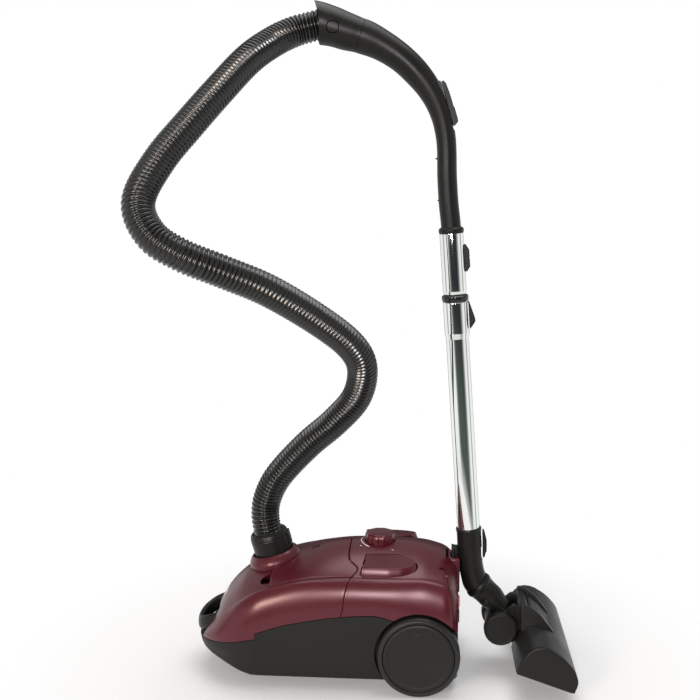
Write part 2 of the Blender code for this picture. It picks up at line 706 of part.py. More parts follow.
def make_canister_trim():
    nose_insert_box("nose_insert", (16.0, 40.0, 1.8), PALE_PINK)
    box("lid_window", (-111.5, -8.5, 191.0), (-100.5, 0.5, 194.6), BLACK)
    x, z = LID_HINGE
    rod("lid_hinge_pin", (x, -12, z), (x, 12, z), 1.6, STEEL, 12)
    inlet_axis = (-math.sin(INLET_TILT), 0, math.cos(INLET_TILT))
    holder = ((40, -31), (40, -34), (CUFF_R - 6, -34), (CUFF_R - 6, -31))
    turned("bag_holder", holder, INLET_BASE, inlet_axis, DARK_GREY, 18)
    bag = box("dust_bag", (-238, -72, 38), (-66, 72, 128), PAPER)
    puff = bag.modifiers.new("puff", "BEVEL")
    puff.width = 20 * MM
    puff.segments = 3
    box("motor_filter", (-60, -64, 34), (-55, 64, 150), FOAM)
    outlet = box("cord_outlet", (108, -51.5, 92.5), (121, -26.5, 113.5), BLACK, 2)
    cut(outlet, box("cord_slot_cutter", (105, -43, 100), (130, -35, 106), None))
    box("cord_stop", (110, -46, 114.5), (121.5, -32, 133), RED, 2)


def make_bracket():
    bracket = box("parking_bracket", (104, -21.5, 131), (120.7, 21.5, 184), BURGUNDY, 1.5)
    cut(bracket, box("crossbar_slot_cutter", (107.5, -14, 143), (114.5, 14, 200), None))
    cut(bracket, box("web_slot_cutter", (112, -6, 143), (130, 6, 200), None))
    web = [(110.5, 146), (110.5, 200), (117.6, 200), (118.9, 184), (120.4, 172), (122.8, 160),
           (119.5, 150), (115.5, 146)]
    hook = extruded("park_hook", web, -4.8, 4.8, BLACK)
    join(hook, box("hook_crossbar", (109, -12.5, 146.4), (112.8, 12.5, 199.6), None))


def make_motor_and_reel():
    motor_axis = (1, 0, 0)
    housing = ((46, 88), (46, 12), (40, 0), (36, 0), (43.2, 13), (43.2, 88))
    turned("motor_housing", housing, (-42, -33, 84), motor_axis, DARK_GREY, 20)
    fan = ((0, 76), (5, 76), (5, 60), (30, 60), (30, 22), (6, 20), (6, 12), (38, 9), (38, 5), (0, 5))
    turned("motor_fan", fan, (-42, -33, 84), motor_axis, STEEL, 16)
    reel_axis = (0, 1, 0)
    centre = (48, 22, 100)
    reel = ((54, 36), (54, 33.5), (24, 33.5), (24, 2.5), (54, 2.5), (54, 0), (6.3, 0), (6.3, 36))
    turned("cord_reel", reel, centre, reel_axis, DARK_GREY, 22)
    turned("wound_cord", ((50, 33), (50, 3), (24.4, 3), (24.4, 33)), centre, reel_axis, CORD, 22)
    rod("reel_axle", (48, 16, 100), (48, 64, 100), 6.0, STEEL, 16)


# ---------------------------------------------------------------- wand
WAND_UP = Vector((-math.sin(WAND_LEAN), 0, math.cos(WAND_LEAN)))


def on_wand(length, behind=0.0):
    """A point at a distance along the wand, and behind its axis on the +X side."""
    across = Vector((math.cos(WAND_LEAN), 0, math.sin(WAND_LEAN)))
    return Vector(WAND_FOOT) + WAND_UP * length + across * behind


def make_wand_tubes():
    lower = ((LOWER_TUBE_R + 1.5, LOWER_TUBE_TOP), (LOWER_TUBE_R + 1.5, 318), (LOWER_TUBE_R, 309),
             (LOWER_TUBE_R, -20), (LOWER_TUBE_R - 1.2, -20), (LOWER_TUBE_R - 1.2, 312),
             (LOWER_TUBE_R - 0.8, LOWER_TUBE_TOP))
    tube = turned("lower_tube", lower, WAND_FOOT, WAND_UP, CHROME, 24)
    release_slot = oriented_box("release_slot_cutter", on_wand(342, 19), Vector((1, 0, 0)), WAND_UP,
                                (3.0, 13, 42), None)
    cut(tube, release_slot)
    collar = ((19.6, COLLAR_TOP), (20.4, COLLAR_TOP - 3), (20.4, LOWER_TUBE_TOP + 3),
              (19.6, LOWER_TUBE_TOP + GAP), (INNER_TUBE_R + 0.3, LOWER_TUBE_TOP + GAP),
              (INNER_TUBE_R + 0.3, COLLAR_TOP))
    turned("telescope_collar", collar, WAND_FOOT, WAND_UP, BLACK, 24)
    upper = ((SLEEVE_R, SLEEVE_TOP), (SLEEVE_R, COLLAR_TOP + 6), (INNER_TUBE_R + 0.6, COLLAR_TOP + GAP),
             (INNER_TUBE_R, COLLAR_TOP), (INNER_TUBE_R, 60), (INNER_TUBE_R - 1.1, 60),
             (INNER_TUBE_R - 1.1, COLLAR_TOP + 7), (SLEEVE_R - 1.1, COLLAR_TOP + 12),
             (SLEEVE_R - 1.1, SLEEVE_TOP))
    sleeve = turned("upper_tube", upper, WAND_FOOT, WAND_UP, CHROME, 24)
    button_slot = oriented_box("button_slot_cutter", on_wand(432, SLEEVE_R), Vector((1, 0, 0)), WAND_UP,
                               (12, 11, 44), None)
    cut(sleeve, button_slot)


def wedge(name, points, half, finish):
    """A button whose side view is given as (length along the wand, height behind its axis)."""
    outline = [(on_wand(length, behind).x, on_wand(length, behind).z) for length, behind in points]
    return extruded(name, outline, -half, half, finish, 1.0)


def make_wand_buttons():
    wedge("telescope_release", ((364, 19.6), (366, 20.5), (338, 28.5), (334, 28.5), (322, 19.6)), 7.5, BLACK)
    wedge("grip_lock_button", ((411, 13.6), (411, 21), (417, 25.5), (444, 25.5), (452, 21), (452, 13.6)),
          4.8, BLACK)


def slider_point(along, out):
    """A point of the grip's air slider, given along its travel and outwards from the grip."""
    lift = Vector(SLIDER_AXIS)
    return SLIDER_FOOT[0] + lift.x * along + lift.z * out, SLIDER_FOOT[1] + lift.z * along - lift.x * out


def make_grip():
    foot = on_wand(SLEEVE_TOP + GAP)
    rim_top = on_wand(SLEEVE_TOP + 6)
    neck = on_wand(SLEEVE_TOP + 8)
    stations = [((foot.x, foot.z), 18.6, 18.6), ((rim_top.x, rim_top.z), 19.2, 19.2),
                ((neck.x, neck.z), 15.0, 15.0), ((94.2, 773), 14.8, 15.2), ((90.3, 842), 14.9, 15.5),
                ((86, 862), 15.5, 16), ((77, 886), 16.5, 17), ((64, 909), 18.3, 18), ((47, 930), 20, 19),
                ((26, 950), 20.8, 20), ((-4, 970), 22.6, 21), ((-35.7, 984), 25.4, 23)]
    tangents = station_tangents([(x, 0, z) for (x, z), _, _ in stations])
    tangents[0] = tangents[1] = WAND_UP
    tangents[-1] = Vector(HOSE_END_AXIS)
    grip = swept("grip", stations, 2.6, BLACK, 16, tangents)
    spigot = ((16.4, SLEEVE_TOP + 4), (16.4, SLEEVE_TOP - 62), (13.8, SLEEVE_TOP - 62),
              (13.8, SLEEVE_TOP + 4))
    join(grip, turned("grip_spigot", spigot, WAND_FOOT, WAND_UP, None, 16))
    cut(grip, oriented_box("grip_button_cutter", on_wand(432, 16), Vector((1, 0, 0)), WAND_UP,
                           (14, 10.4, 42.6), None))
    groove = [slider_point(along, out) for along, out in ((-3, 0), (-3, 20), (82, 20), (82, 0))]
    cut(grip, extruded("slider_groove_cutter", groove, -8.6, 8.6, None))
    slider = ((3, 0.6), (3.4, 4), (8, 9.4), (28, 9.6), (31, 8.4), (56, 7.4), (68, 6.4), (71, 3.5), (70, 0.6))
    extruded("air_slider", [slider_point(along, out) for along, out in slider], -8, 8, BLACK, 1.0)

    collar_stations = [((-36.3, 984.2), 25.2, 23), ((-62, 992), 28, 25.5), ((-102, 1003.6), 32.6, 28.5)]
    tangents = [Vector(HOSE_END_AXIS), Vector((-66, 0, 20)), Vector((-64, 0, 12))]
    collar = swept("hose_end", collar_stations, 2.8, BLACK, 16, tangents)
    cut(collar, box("snap_window_cutter", (-85, -40, 986), (-67, -15, 1004), None))
    box("hose_end_snap", (-84, -27.2, 987), (-68, -24.2, 1003), DARK_GREY)


# ---------------------------------------------------------------- neck and floor head
def make_neck():
    stations = [((135.2, 231), 19.6, 19.6), ((137.2, 203), 19.2, 19.2), ((138.8, 182), 18.8, 18.8),
                ((140.4, 168), 18.8, 18.8), ((143.6, 153), 19.4, 19.4), ((149.3, 139.9), 20.2, 20.2)]
    tangents = [-WAND_UP, -WAND_UP, Vector((0.1, 0, -0.995)), Vector((0.3, 0, -0.954)),
                Vector((0.52, 0, -0.854)), Vector(SWIVEL_AXIS)]
    neck = swept("neck_elbow", stations, 3.4, BLACK, 20, tangents)
    socket = ((LOWER_TUBE_R + 0.4, 30), (LOWER_TUBE_R + 0.4, -20.6), (0, -20.6))
    cut(neck, turned("neck_socket_cutter", ((0, 30),) + socket, WAND_FOOT, WAND_UP, None, 20))
    lever = [(156.9, 228), (160, 226), (163.5, 212), (163.5, 196), (161, 185), (158.2, 183.6), (157.8, 205)]
    extruded("neck_lever", lever, -6.5, 6.5, BLACK, 1.0)
    cut(neck, box("lever_pocket_cutter", (155.2, -7.3, 180.5), (175, 7.3, 201), None))


def make_yoke():
    axis = Vector(SWIVEL_AXIS).normalized()
    start = Vector(RING_CENTRE) + axis * GAP
    far = [start + axis * d for d in (0, 8, 14, 34, 56)]
    radii = ((22, 22), (22, 22), (20.5, 20), (20, 19.4), (15, 19.2))
    stations = [((p.x, p.z), r[0], r[1]) for p, r in zip(far, radii)]
    yoke = swept("swivel_yoke", stations, 3.0, BLACK, 18, [axis] * 5)
    barrel = ((22, 19.6), (22, -19.6), (4.4, -19.6), (4.4, 19.6))
    join(yoke, turned("yoke_barrel", barrel, PIVOT, (0, 1, 0), None, 20))
    rod("tilt_axle", (PIVOT[0], -41, PIVOT[2]), (PIVOT[0], 41, PIVOT[2]), 4.1, STEEL, 16)
    for side, word in ((-1, "left"), (1, "right")):
        roller = ((0, 14), (ROLLER_R - 4, 14), (ROLLER_R - 3.5, 13), (ROLLER_R - 1, 13), (ROLLER_R, 11.5),
                  (ROLLER_R, 0), (4.4, 0), (4.4, 12.6), (0, 12.6))
        turned("neck_roller_" + word, roller, (PIVOT[0], side * 29.0, PIVOT[2]), (0, side, 0), BLACK, 24)


def make_head():
    inner = [(209, 47), (211, 56), (220, 74), (233, 85.2), (244.6, 85.2), (264.6, 75.6), (280, 62),
             (290.2, 47), (293, 36.5), (288.5, 20)]
    shell = extruded("head_shell", list(HEAD_OUTLINE) + list(reversed(inner)), -123.6, 123.6, DARK_GREY)
    saddle = [(217.5, 78), (217.5, 121), (228, 118), (246, 104), (262, 84), (266, 79), (244, 86), (233, 86)]
    for side in (-1, 1):
        low, high = sorted((side * 36, side * 42))
        join(shell, extruded("head_ridge", saddle, low, high, None))
    cut(shell, box("duct_gap_cutter", (190, -30, 30), (231, 30, 130), None))

    block = [(213.5, 52), (213.5, 112), (218, 119), (226, 116), (230.4, 108), (230.4, 52)]
    duct = extruded("head_duct", block, -28.2, 28.2, BLACK)
    for side in (-1, 1):
        low, high = sorted((side * 20.6, side * 28.2))
        ear = [(186, 97), (178, 96), (170, 88), (168, 79), (170, 70), (178, 62), (186, 60), (216, 54),
               (216, 112), (206, 116), (196, 108)]
        join(duct, extruded("duct_ear", ear, low, high, None))
    cut(duct, rod("ear_bore_cutter", (PIVOT[0], -40, PIVOT[2]), (PIVOT[0], 40, PIVOT[2]), 4.4, None, 16))
    cut(duct, box("duct_channel_cutter", (205, -17, 60), (240, 17, 104), None))

    rear, front = Vector((SOLE_REAR[0], 0, SOLE_REAR[1])), Vector((SOLE_FRONT[0], 0, SOLE_FRONT[1]))
    forward = (front - rear).normalized()
    upward = Vector((-forward.z, 0, forward.x))
    corners = (rear, rear + forward * 5 + upward * 3.6, front - forward * 2 + upward * 3.6, front)
    plate = extruded("head_sole", [(p.x, p.z) for p in corners], -122.5, 122.5, CHARCOAL)
    cut(plate, oriented_box("suction_slot_cutter", rear + forward * 48, forward, upward, (16, 180, 30), None))
    cut(plate, oriented_box("brush_slot_cutter", rear + forward * 26, forward, upward, (7, 201, 30), None))
    bristles = rear + forward * 26 + upward * 5
    oriented_box("brush_strip", bristles, forward, upward, (5, 200, 9), DARK_GREY)
    for side, word in ((-1, "left"), (1, "right")):
        low, high = sorted((side * 124, side * HEAD_HALF))
        extruded("head_cap_" + word, HEAD_OUTLINE, low, high, BLACK, 1.6)


# ---------------------------------------------------------------- hose
def smooth_route(points):
    """Evenly spaced points of the smooth curve through the route's points."""
    route = [Vector(p) for p in points]
    ends = [route[0] * 2 - route[1]] + route + [route[-1] * 2 - route[-2]]
    fine = []
    for a, b, c, d in zip(ends, ends[1:], ends[2:], ends[3:]):
        for i in range(24):
            t = i / 24
            fine.append(0.5 * (2 * b + (c - a) * t + (2 * a - 5 * b + 4 * c - d) * t ** 2
                               + (3 * b - a - 3 * c + d) * t ** 3))
    fine.append(route[-1])
    lengths = [0.0]
    for a, b in zip(fine, fine[1:]):
        lengths.append(lengths[-1] + (b - a).length)
    count = max(2, round(lengths[-1] / HOSE_STEP))
    picked = []
    for k in range(count + 1):
        goal = lengths[-1] * k / count
        i = min(int(np.searchsorted(lengths, goal, side="right")), len(fine) - 1)
        span = lengths[i] - lengths[i - 1]
        picked.append(fine[i - 1].lerp(fine[i], (goal - lengths[i - 1]) / span))
    return picked


def make_hose(name, points):
    curve = bpy.data.curves.new(name, "CURVE")
    curve.dimensions = "3D"
    curve.bevel_depth = (HOSE_R - 0.4) * MM
    curve.bevel_resolution = 2
    curve.use_fill_caps = True
    spline = curve.splines.new("POLY")
    spline.points.add(len(points) - 1)
    for slot, point in zip(spline.points, points):
        slot.co = (*metres(point), 1.0)
    obj = bpy.data.objects.new(name, curve)
    place(obj, PARTS)
    return finish_part(obj, BLACK)


def make_hoses():
    lower = smooth_route(HOSE_ROUTE_LOWER)
    upper = smooth_route(HOSE_ROUTE_UPPER)
    joint = Vector(HOSE_ROUTE_UPPER[0])
    along = Vector(HOSE_JOINT_AXIS).normalized()
    make_hose("hose_lower", lower[:-1] + [joint - along * 6, joint - along * 0.5 * GAP])
    make_hose("hose_upper", [joint + along * 0.5 * GAP, joint + along * 6] + upper[1:])


make_upper_shells()
make_base()
make_rear_panel()
for side_of_pedal, pedal_word in ((-1, "switch"), (1, "rewind")):
    make_pedal("pedal_" + pedal_word, side_of_pedal, BURGUNDY)
make_inlet()
make_knob()
make_wheels()
make_caster()
make_handle()
make_canister_trim()
make_bracket()
make_motor_and_reel()
make_wand_tubes()
make_wand_buttons()
make_grip()
make_neck()
make_yoke()
make_head()
make_hoses()
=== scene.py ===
"""The looks of a bagged canister vacuum cleaner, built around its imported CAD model.

Lengths are millimetres in the model's own frame, and MM turns them into metres: +X runs from the nose to
the rear, -Y is the side with the switch pedal, and +Z is up.
"""
import json
import math

import bmesh
import bpy
import numpy as np
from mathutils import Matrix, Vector, noise


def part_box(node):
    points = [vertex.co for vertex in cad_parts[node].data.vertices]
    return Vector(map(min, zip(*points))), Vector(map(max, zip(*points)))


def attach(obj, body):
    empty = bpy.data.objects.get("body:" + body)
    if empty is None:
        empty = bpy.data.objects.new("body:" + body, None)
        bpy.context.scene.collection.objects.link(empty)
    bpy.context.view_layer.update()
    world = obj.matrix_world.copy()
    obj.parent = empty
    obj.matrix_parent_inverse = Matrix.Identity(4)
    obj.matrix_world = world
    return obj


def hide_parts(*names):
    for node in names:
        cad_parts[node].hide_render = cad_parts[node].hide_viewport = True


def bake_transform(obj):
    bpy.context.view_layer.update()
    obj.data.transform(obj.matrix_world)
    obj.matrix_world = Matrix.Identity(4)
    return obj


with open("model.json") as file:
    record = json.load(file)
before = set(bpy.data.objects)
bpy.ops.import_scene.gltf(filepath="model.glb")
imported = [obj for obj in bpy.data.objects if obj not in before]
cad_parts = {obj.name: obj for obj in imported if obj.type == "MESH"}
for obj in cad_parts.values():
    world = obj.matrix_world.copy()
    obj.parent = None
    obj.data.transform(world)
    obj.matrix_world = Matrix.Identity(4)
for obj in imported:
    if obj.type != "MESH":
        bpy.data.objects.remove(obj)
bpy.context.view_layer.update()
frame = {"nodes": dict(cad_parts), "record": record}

MM = 0.001

# ---- the canister's driving dimensions, as in the CAD model ----
NOSE_X = -293.0
REAR_X = 118.0
FULL_WIDTH_X = -185.0
STEP_X = -192.0
REAR_CORNER = 22.0
BASE_TAPER = 9.0
DECK_SHARE = 0.81
DECK_PARAM = 0.6
BACK_PANEL_LOW = 45.0
WALL = 2.4
TOP_LINE = ((-293, 58.6), (-287, 67), (-274, 82), (-259, 106), (-246, 127), (-229, 146), (-213, 159),
            (-175, 174), (-132, 188), (-84, 202), (-40, 208), (10, 209), (53, 206), (91, 197),
            (108, 187), (118, 172))
DECK_EDGE_LINE = ((-293, 58.2), (-275, 73), (-250, 104), (-218, 134), (-174, 158), (-102, 175),
                  (-40, 178), (60, 178), (95, 171), (110, 161), (118, 148))
WIDTH_LINE = ((-185, 109), (0, 112), (118, 112))
FRONT_SEAM_LINE = ((-293, 57.5), (-280, 61.5), (-258, 66.5), (-238, 71), (-213, 78), (STEP_X, 83))
REAR_SEAM_LINE = ((STEP_X, 92), (-160, 103), (-143, 108), (-58, 123), (-13, 126), (21, 118),
                  (58, 100), (118, 93))
FLANK_LINE = FRONT_SEAM_LINE[:-1] + ((-185, 90.5),) + REAR_SEAM_LINE[1:]
BOTTOM_LINE = ((-293, 46), (-286, 39.5), (-255, 34), (-233, 27), (-212, 20), (-195, 17), (118, 17))
SHELL_SEAM = ((0.0, -49), (0.28, -51), (0.36, -50), (0.5, -36), (0.6, -45), (0.75, -52), (1.0, -60))
LID_FRONT_X = -172.0
LID_SHARE = 0.988
NOSE_INSERT_X = -251.0
SEAM_HALF = 0.55          # half the visible seam between the shells
LID_SEAM_HALF = 1.0       # the lid's rear edge swings, so it keeps more room
LINER_DEPTH = WALL + 0.4  # how far in the dark strip behind the corner seam sits
SIDE_GAP = 1.0            # the shadow line between the shells and the base
CORNER_LINE = ((96.5, 187), (101, 170), (106.5, 148), (109, 125), (109.6, 100), (109.6, 88))
CORNER_SEAM = CORNER_LINE + tuple((x + 0.9, z) for x, z in reversed(CORNER_LINE))

# ---- the places of its fittings ----
INLET_TILT = math.radians(15)
INLET_BASE = Vector((-172.0, 0.0, 178.0))
INLET_AXIS = Vector((-math.sin(INLET_TILT), 0, math.cos(INLET_TILT)))
INLET_SIDE = Vector((math.cos(INLET_TILT), 0, math.sin(INLET_TILT)))
CUFF_R = 31.0
CUFF_LENGTH = 44.0
RING_R = 42.0
HOSE_R = 22.5
KNOB_X = -4.0
KNOB_R = 24.0
KNOB_LOW = 203.0
KNOB_TOP = 221.5
PEDAL_TILT = {-1: math.tan(math.radians(11)), 1: math.tan(math.radians(5))}    # by side
PEDAL_LIFT = {-1: 0.0, 1: 1.5}
PEDAL_OUTLINE = ((-24, -43, 3), (24, -43, 12), (42, -50, 12), (54, -61, 9), (58, -70, 8), (50, -79, 10),
                 (34, -86, 16), (10, -89, 20), (-33, -88, 5))
PEDAL_Z = 199.5
AXLE_X = 58.0
WHEEL_R = 63.0
WHEEL_INNER_Y = 94.0
WHEEL_OUTER_Y = 121.0
CAP_R = 54.0
WELL_R = 67.0
WELL_Y = 84.0
AXLE_R = 6.0
CASTER_X = -200.0
CASTER_WHEEL_X = -191.0
CASTER_R = 12.0

# ---- the wand and the floor head ----
WAND_LEAN = math.radians(4.16)
WAND_FOOT = Vector((135.6, 0.0, 225.0))
WAND_UP = Vector((-math.sin(WAND_LEAN), 0, math.cos(WAND_LEAN)))
WAND_BACK = Vector((math.cos(WAND_LEAN), 0, math.sin(WAND_LEAN)))
LOWER_TUBE_R = 17.5
SLEEVE_R = 18.0
INNER_TUBE_R = 15.5
LOWER_TUBE_TOP = 366.0
COLLAR_TOP = 376.0
SLEEVE_TOP = 470.0
HOSE_END_AXIS = Vector((-26.0, 0.0, 8.0))
SLIDER_FOOT = Vector((102.2, 0.0, 850.0))
SLIDER_AXIS = Vector((-0.277, 0.0, 0.961))
SLIDER_OUT = Vector((0.961, 0.0, 0.277))
PIVOT = Vector((186.0, 0.0, 79.0))
RING_CENTRE = Vector((149.5, 0.0, 139.6))
SWIVEL_AXIS = Vector((0.72, 0.0, -0.694)).normalized()
ROLLER_R = 26.0
HEAD_HALF = 130.0
HEAD_OUTLINE = ((204, 47), (207, 57), (217, 76), (232, 88), (245, 88), (266, 78), (282, 64), (293, 48),
                (296, 36), (291, 18))
HEAD_WALL = 2.8

# ---- the hose's route, from the inlet cuff to the hose end on the grip ----
HOSE_ROUTE_LOWER = ((-175.6, 0, 191.5), (-183.4, 0, 220.5), (-187, 0, 244), (-184.5, -1, 270),
                    (-171, -7, 302), (-149, -15, 332), (-112, -32, 373), (-72, -50, 411), (-38, -76, 455),
                    (-28, -105, 504))
HOSE_ROUTE_UPPER = ((-28, -105, 504), (-44, -135, 543), (-88, -174, 585), (-149, -222, 630),
                    (-205, -252, 658), (-258, -270, 682), (-297, -268, 708), (-316, -250, 750),
                    (-296, -208, 803), (-262, -164, 853), (-228, -120, 900), (-194, -72, 945),
                    (-164, -30, 973), (-137, -8, 989), (-112, -1, 997), (-88, 0, 1002.5))
RIB_PITCH = 6.3
RIB_DEPTH = 2.5
BELL_SLANT = 0.34         # how far the bell's mouth leans out over the hose
BELL_HOLLOW = 6.5         # and how far it curves back between the two lips
SHARP_ANGLE = 38          # degrees; faces that meet more steeply than this keep a sharp edge
SIDES = ((-1, "left"), (1, "right"))

BODY_OF = {node: body for body, nodes in frame["record"]["behaviour"]["bodies"].items() for node in nodes}
SLOT_OF = {part["node"]: part["material_slot"] for part in frame["record"]["subparts"]}


# ---------------------------------------------------------------- materials
def add_node(tree, kind, inputs=None, **properties):
    """A node; an input's value is a number, a tuple or another node's socket."""
    node = tree.nodes.new(kind)
    for key, value in properties.items():
        setattr(node, key, value)
    for key, value in (inputs or {}).items():
        if isinstance(value, bpy.types.NodeSocket):
            tree.links.new(value, node.inputs[key])
        else:
            node.inputs[key].default_value = value
    return node


def noise_node(tree, vector, scale, detail=2.0):
    inputs = {"Vector": vector, "Scale": scale, "Detail": detail}
    return add_node(tree, "ShaderNodeTexNoise", inputs).outputs["Fac"]


def remap(tree, value, from_low, from_high, low, high):
    inputs = {"Value": value, "From Min": from_low, "From Max": from_high, "To Min": low, "To Max": high}
    return add_node(tree, "ShaderNodeMapRange", inputs).outputs["Result"]


def mix_colours(tree, factor, a, b):
    """A mix of two colours, each a tuple or a socket."""
    node = tree.nodes.new("ShaderNodeMix")
    node.data_type = "RGBA"
    tree.links.new(factor, node.inputs["Factor"])
    for key, value in (("A", a), ("B", b)):
        socket = [s for s in node.inputs if s.name == key and s.type == "RGBA"][0]
        if isinstance(value, tuple):
            socket.default_value = (*value, 1.0)
        else:
            tree.links.new(value, socket)
    return [s for s in node.outputs if s.type == "RGBA"][0]


def scaled(colour, factor):
    return tuple(min(c * factor, 1.0) for c in colour)


def surface(name, colour, roughness, grain=0.0006, depth=0.00002, mottle=0.1, wear=0.25, edge=0.0005,
            stretch=(1, 1, 1), flake=0.0, **constants):
    """A moulded, plated or pressed surface.

    It has a fine grain, a broad unevenness of colour and gloss, and edges rubbed a little lighter.
    """
    material = bpy.data.materials.new(name)
    material.use_nodes = True
    tree = material.node_tree
    shader = tree.nodes["Principled BSDF"]
    for key, value in constants.items():
        shader.inputs[key.replace("_", " ")].default_value = value
    place = add_node(tree, "ShaderNodeTexCoord").outputs["Object"]
    stretched = add_node(tree, "ShaderNodeMapping", {"Vector": place, "Scale": stretch}).outputs["Vector"]
    fine = noise_node(tree, stretched, 1 / grain)
    broad = noise_node(tree, place, 14.0, 4.0)
    rounding = add_node(tree, "ShaderNodeBevel", {"Radius": edge}, samples=4).outputs["Normal"]
    bump = add_node(tree, "ShaderNodeBump", {"Distance": depth, "Height": fine, "Normal": rounding})
    flat = add_node(tree, "ShaderNodeNewGeometry").outputs["Normal"]
    match = add_node(tree, "ShaderNodeVectorMath", {0: rounding, 1: flat}, operation="DOT_PRODUCT")
    worn = remap(tree, match.outputs["Value"], 0.99, 0.8, 0.0, wear)
    base = mix_colours(tree, broad, scaled(colour, 1 - mottle), scaled(colour, 1 + mottle))
    if flake:
        sparkle = remap(tree, noise_node(tree, place, 3600.0, 0.0), 0.5, 0.8, 0.0, flake)
        base = mix_colours(tree, sparkle, base, scaled(colour, 3.5))
    base = mix_colours(tree, worn, base, scaled(colour, 2.2))
    gloss = remap(tree, broad, 0.3, 0.7, roughness * 0.85, roughness * 1.15)
    for key, socket in (("Base Color", base), ("Roughness", gloss), ("Normal", bump.outputs["Normal"])):
        tree.links.new(socket, shader.inputs[key])
    return material


FINISHES = {
    "burgundy": surface("burgundy_metallic", (0.070, 0.0058, 0.0115), 0.31, grain=0.0011, depth=0.000012,
                        mottle=0.05, wear=0.16, flake=0.3, Metallic=0.22, Coat_Weight=0.42,
                        Coat_Roughness=0.27, Specular_IOR_Level=0.25),
    "pale_pink": surface("pale_trim", (0.42, 0.27, 0.27), 0.25, Coat_Weight=0.3),
    "charcoal": surface("charcoal_grain", (0.0115, 0.011, 0.0102), 0.5, grain=0.0007, depth=0.00004,
                        Specular_IOR_Level=0.22),
    "black": surface("satin_black", (0.0075, 0.0073, 0.0068), 0.38, grain=0.0006, depth=0.000018,
                     Specular_IOR_Level=0.24),
    "dark_grey": surface("dark_grey_satin", (0.0115, 0.0115, 0.0112), 0.4, grain=0.0006, depth=0.00002,
                         Specular_IOR_Level=0.36),
    "chrome": surface("chrome_plate", (0.86, 0.87, 0.85), 0.05, grain=0.004, depth=0.000004, mottle=0.02,
                      wear=0.0, stretch=(1, 1, 0.02), Metallic=1.0),
    "steel": surface("drawn_steel", (0.46, 0.46, 0.45), 0.28, grain=0.0008, depth=0.00001,
                     stretch=(1, 0.1, 1), Metallic=1.0),
    "paper": surface("filter_paper", (0.62, 0.55, 0.43), 0.9, grain=0.0009, depth=0.00012, mottle=0.08,
                     stretch=(1, 3, 1), wear=0.0, Sheen_Weight=0.15),
    "foam": surface("open_cell_foam", (0.12, 0.13, 0.15), 0.95, grain=0.0012, depth=0.0006, mottle=0.2,
                    wear=0.0),
    "cord": surface("cord_sheath", (0.02, 0.02, 0.02), 0.5),
    "tyre": surface("soft_tread", (0.011, 0.011, 0.0102), 0.36, grain=0.0009, depth=0.00002,
                    Specular_IOR_Level=0.35),
    "hose": surface("ribbed_hose", (0.005, 0.005, 0.0046), 0.22, grain=0.0014, depth=0.000015, mottle=0.15,
                    wear=0.0, edge=0.0002, Coat_Weight=0.25, Coat_Roughness=0.2),
    "red": surface("salmon_red", (0.70, 0.13, 0.10), 0.35),
}
GLOSS_BLACK = surface("gloss_black", (0.008, 0.008, 0.008), 0.14, grain=0.0015, depth=0.000006, wear=0.1)
PRINT = surface("pale_print", (0.75, 0.66, 0.66), 0.5, wear=0.0)
# Painted shadow: a near-black matt finish for pieces that stand in for the shade inside seams and recesses.
SHADOW_BLACK = surface("painted_shadow_black", (0.004, 0.004, 0.004), 0.8, wear=0.0)


def link_mesh(name, bm, outward=True):
    """A linked object from a bmesh whose vertices are in millimetres."""
    bmesh.ops.scale(bm, vec=(MM, MM, MM), verts=bm.verts)
    if outward:
        bmesh.ops.recalc_face_normals(bm, faces=bm.faces)
    mesh = bpy.data.meshes.new(name)
    bm.to_mesh(mesh)
    bm.free()
    piece = bpy.data.objects.new(name, mesh)
    bpy.context.scene.collection.objects.link(piece)
    return piece


def shade(piece, sharp=SHARP_ANGLE):
    piece.data.shade_smooth()
    piece.data.set_sharp_from_angle(angle=math.radians(sharp))
    return piece


def finish_mesh(name, bm, sharp=SHARP_ANGLE):
    return shade(link_mesh(name, bm), sharp)


def stitch(bm, rings, ends=True):
    """The walls between neighbouring rings, and the flat ends."""
    for a, b in zip(rings, rings[1:]):
        for i in range(len(a)):
            j = (i + 1) % len(a)
            bm.faces.new((a[i], a[j], b[j], b[i]))
    if ends:
        bm.faces.new(rings[0])
        bm.faces.new(rings[-1])


def turns(count):
    """Equal angles of one full turn."""
    return [2 * math.pi * i / count for i in range(count)]


def apply_modifiers(piece):
    graph = bpy.context.evaluated_depsgraph_get()
    mesh = bpy.data.meshes.new_from_object(piece.evaluated_get(graph))
    piece.modifiers.clear()
    piece.data = mesh
    return piece


def bevel_edges(piece, width, segments, angle):
    edge = piece.modifiers.new("edge", "BEVEL")
    edge.width = width * MM
    edge.segments = segments
    edge.limit_method = "ANGLE"
    edge.angle_limit = math.radians(angle)
    return apply_modifiers(piece)


def combine(piece, tools, operation):
    for tool in tools:
        step = piece.modifiers.new("combine", "BOOLEAN")
        step.operation = operation
        step.solver = "EXACT"
        step.object = tool
    apply_modifiers(piece)
    for tool in tools:
        bpy.data.objects.remove(tool)
    return shade(piece)


def carve(piece, *tools):
    return combine(piece, tools, "DIFFERENCE")


def fuse(piece, *tools):
    return combine(piece, tools, "UNION")


def stand_for(piece, node, material=None):
    """The piece takes the place of a CAD node: its body, its slot and its finish."""
    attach(piece, BODY_OF[node])
    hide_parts(node)
    return dress(piece, SLOT_OF[node], material)


def add_to(piece, node, slot=None, material=None):
    """A further piece on the same body as a CAD node."""
    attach(piece, BODY_OF[node])
    return dress(piece, slot or SLOT_OF[node], material)


def dress(piece, slot, material=None):
    piece.data.materials.clear()
    piece.data.materials.append(material or FINISHES[slot])
    return piece


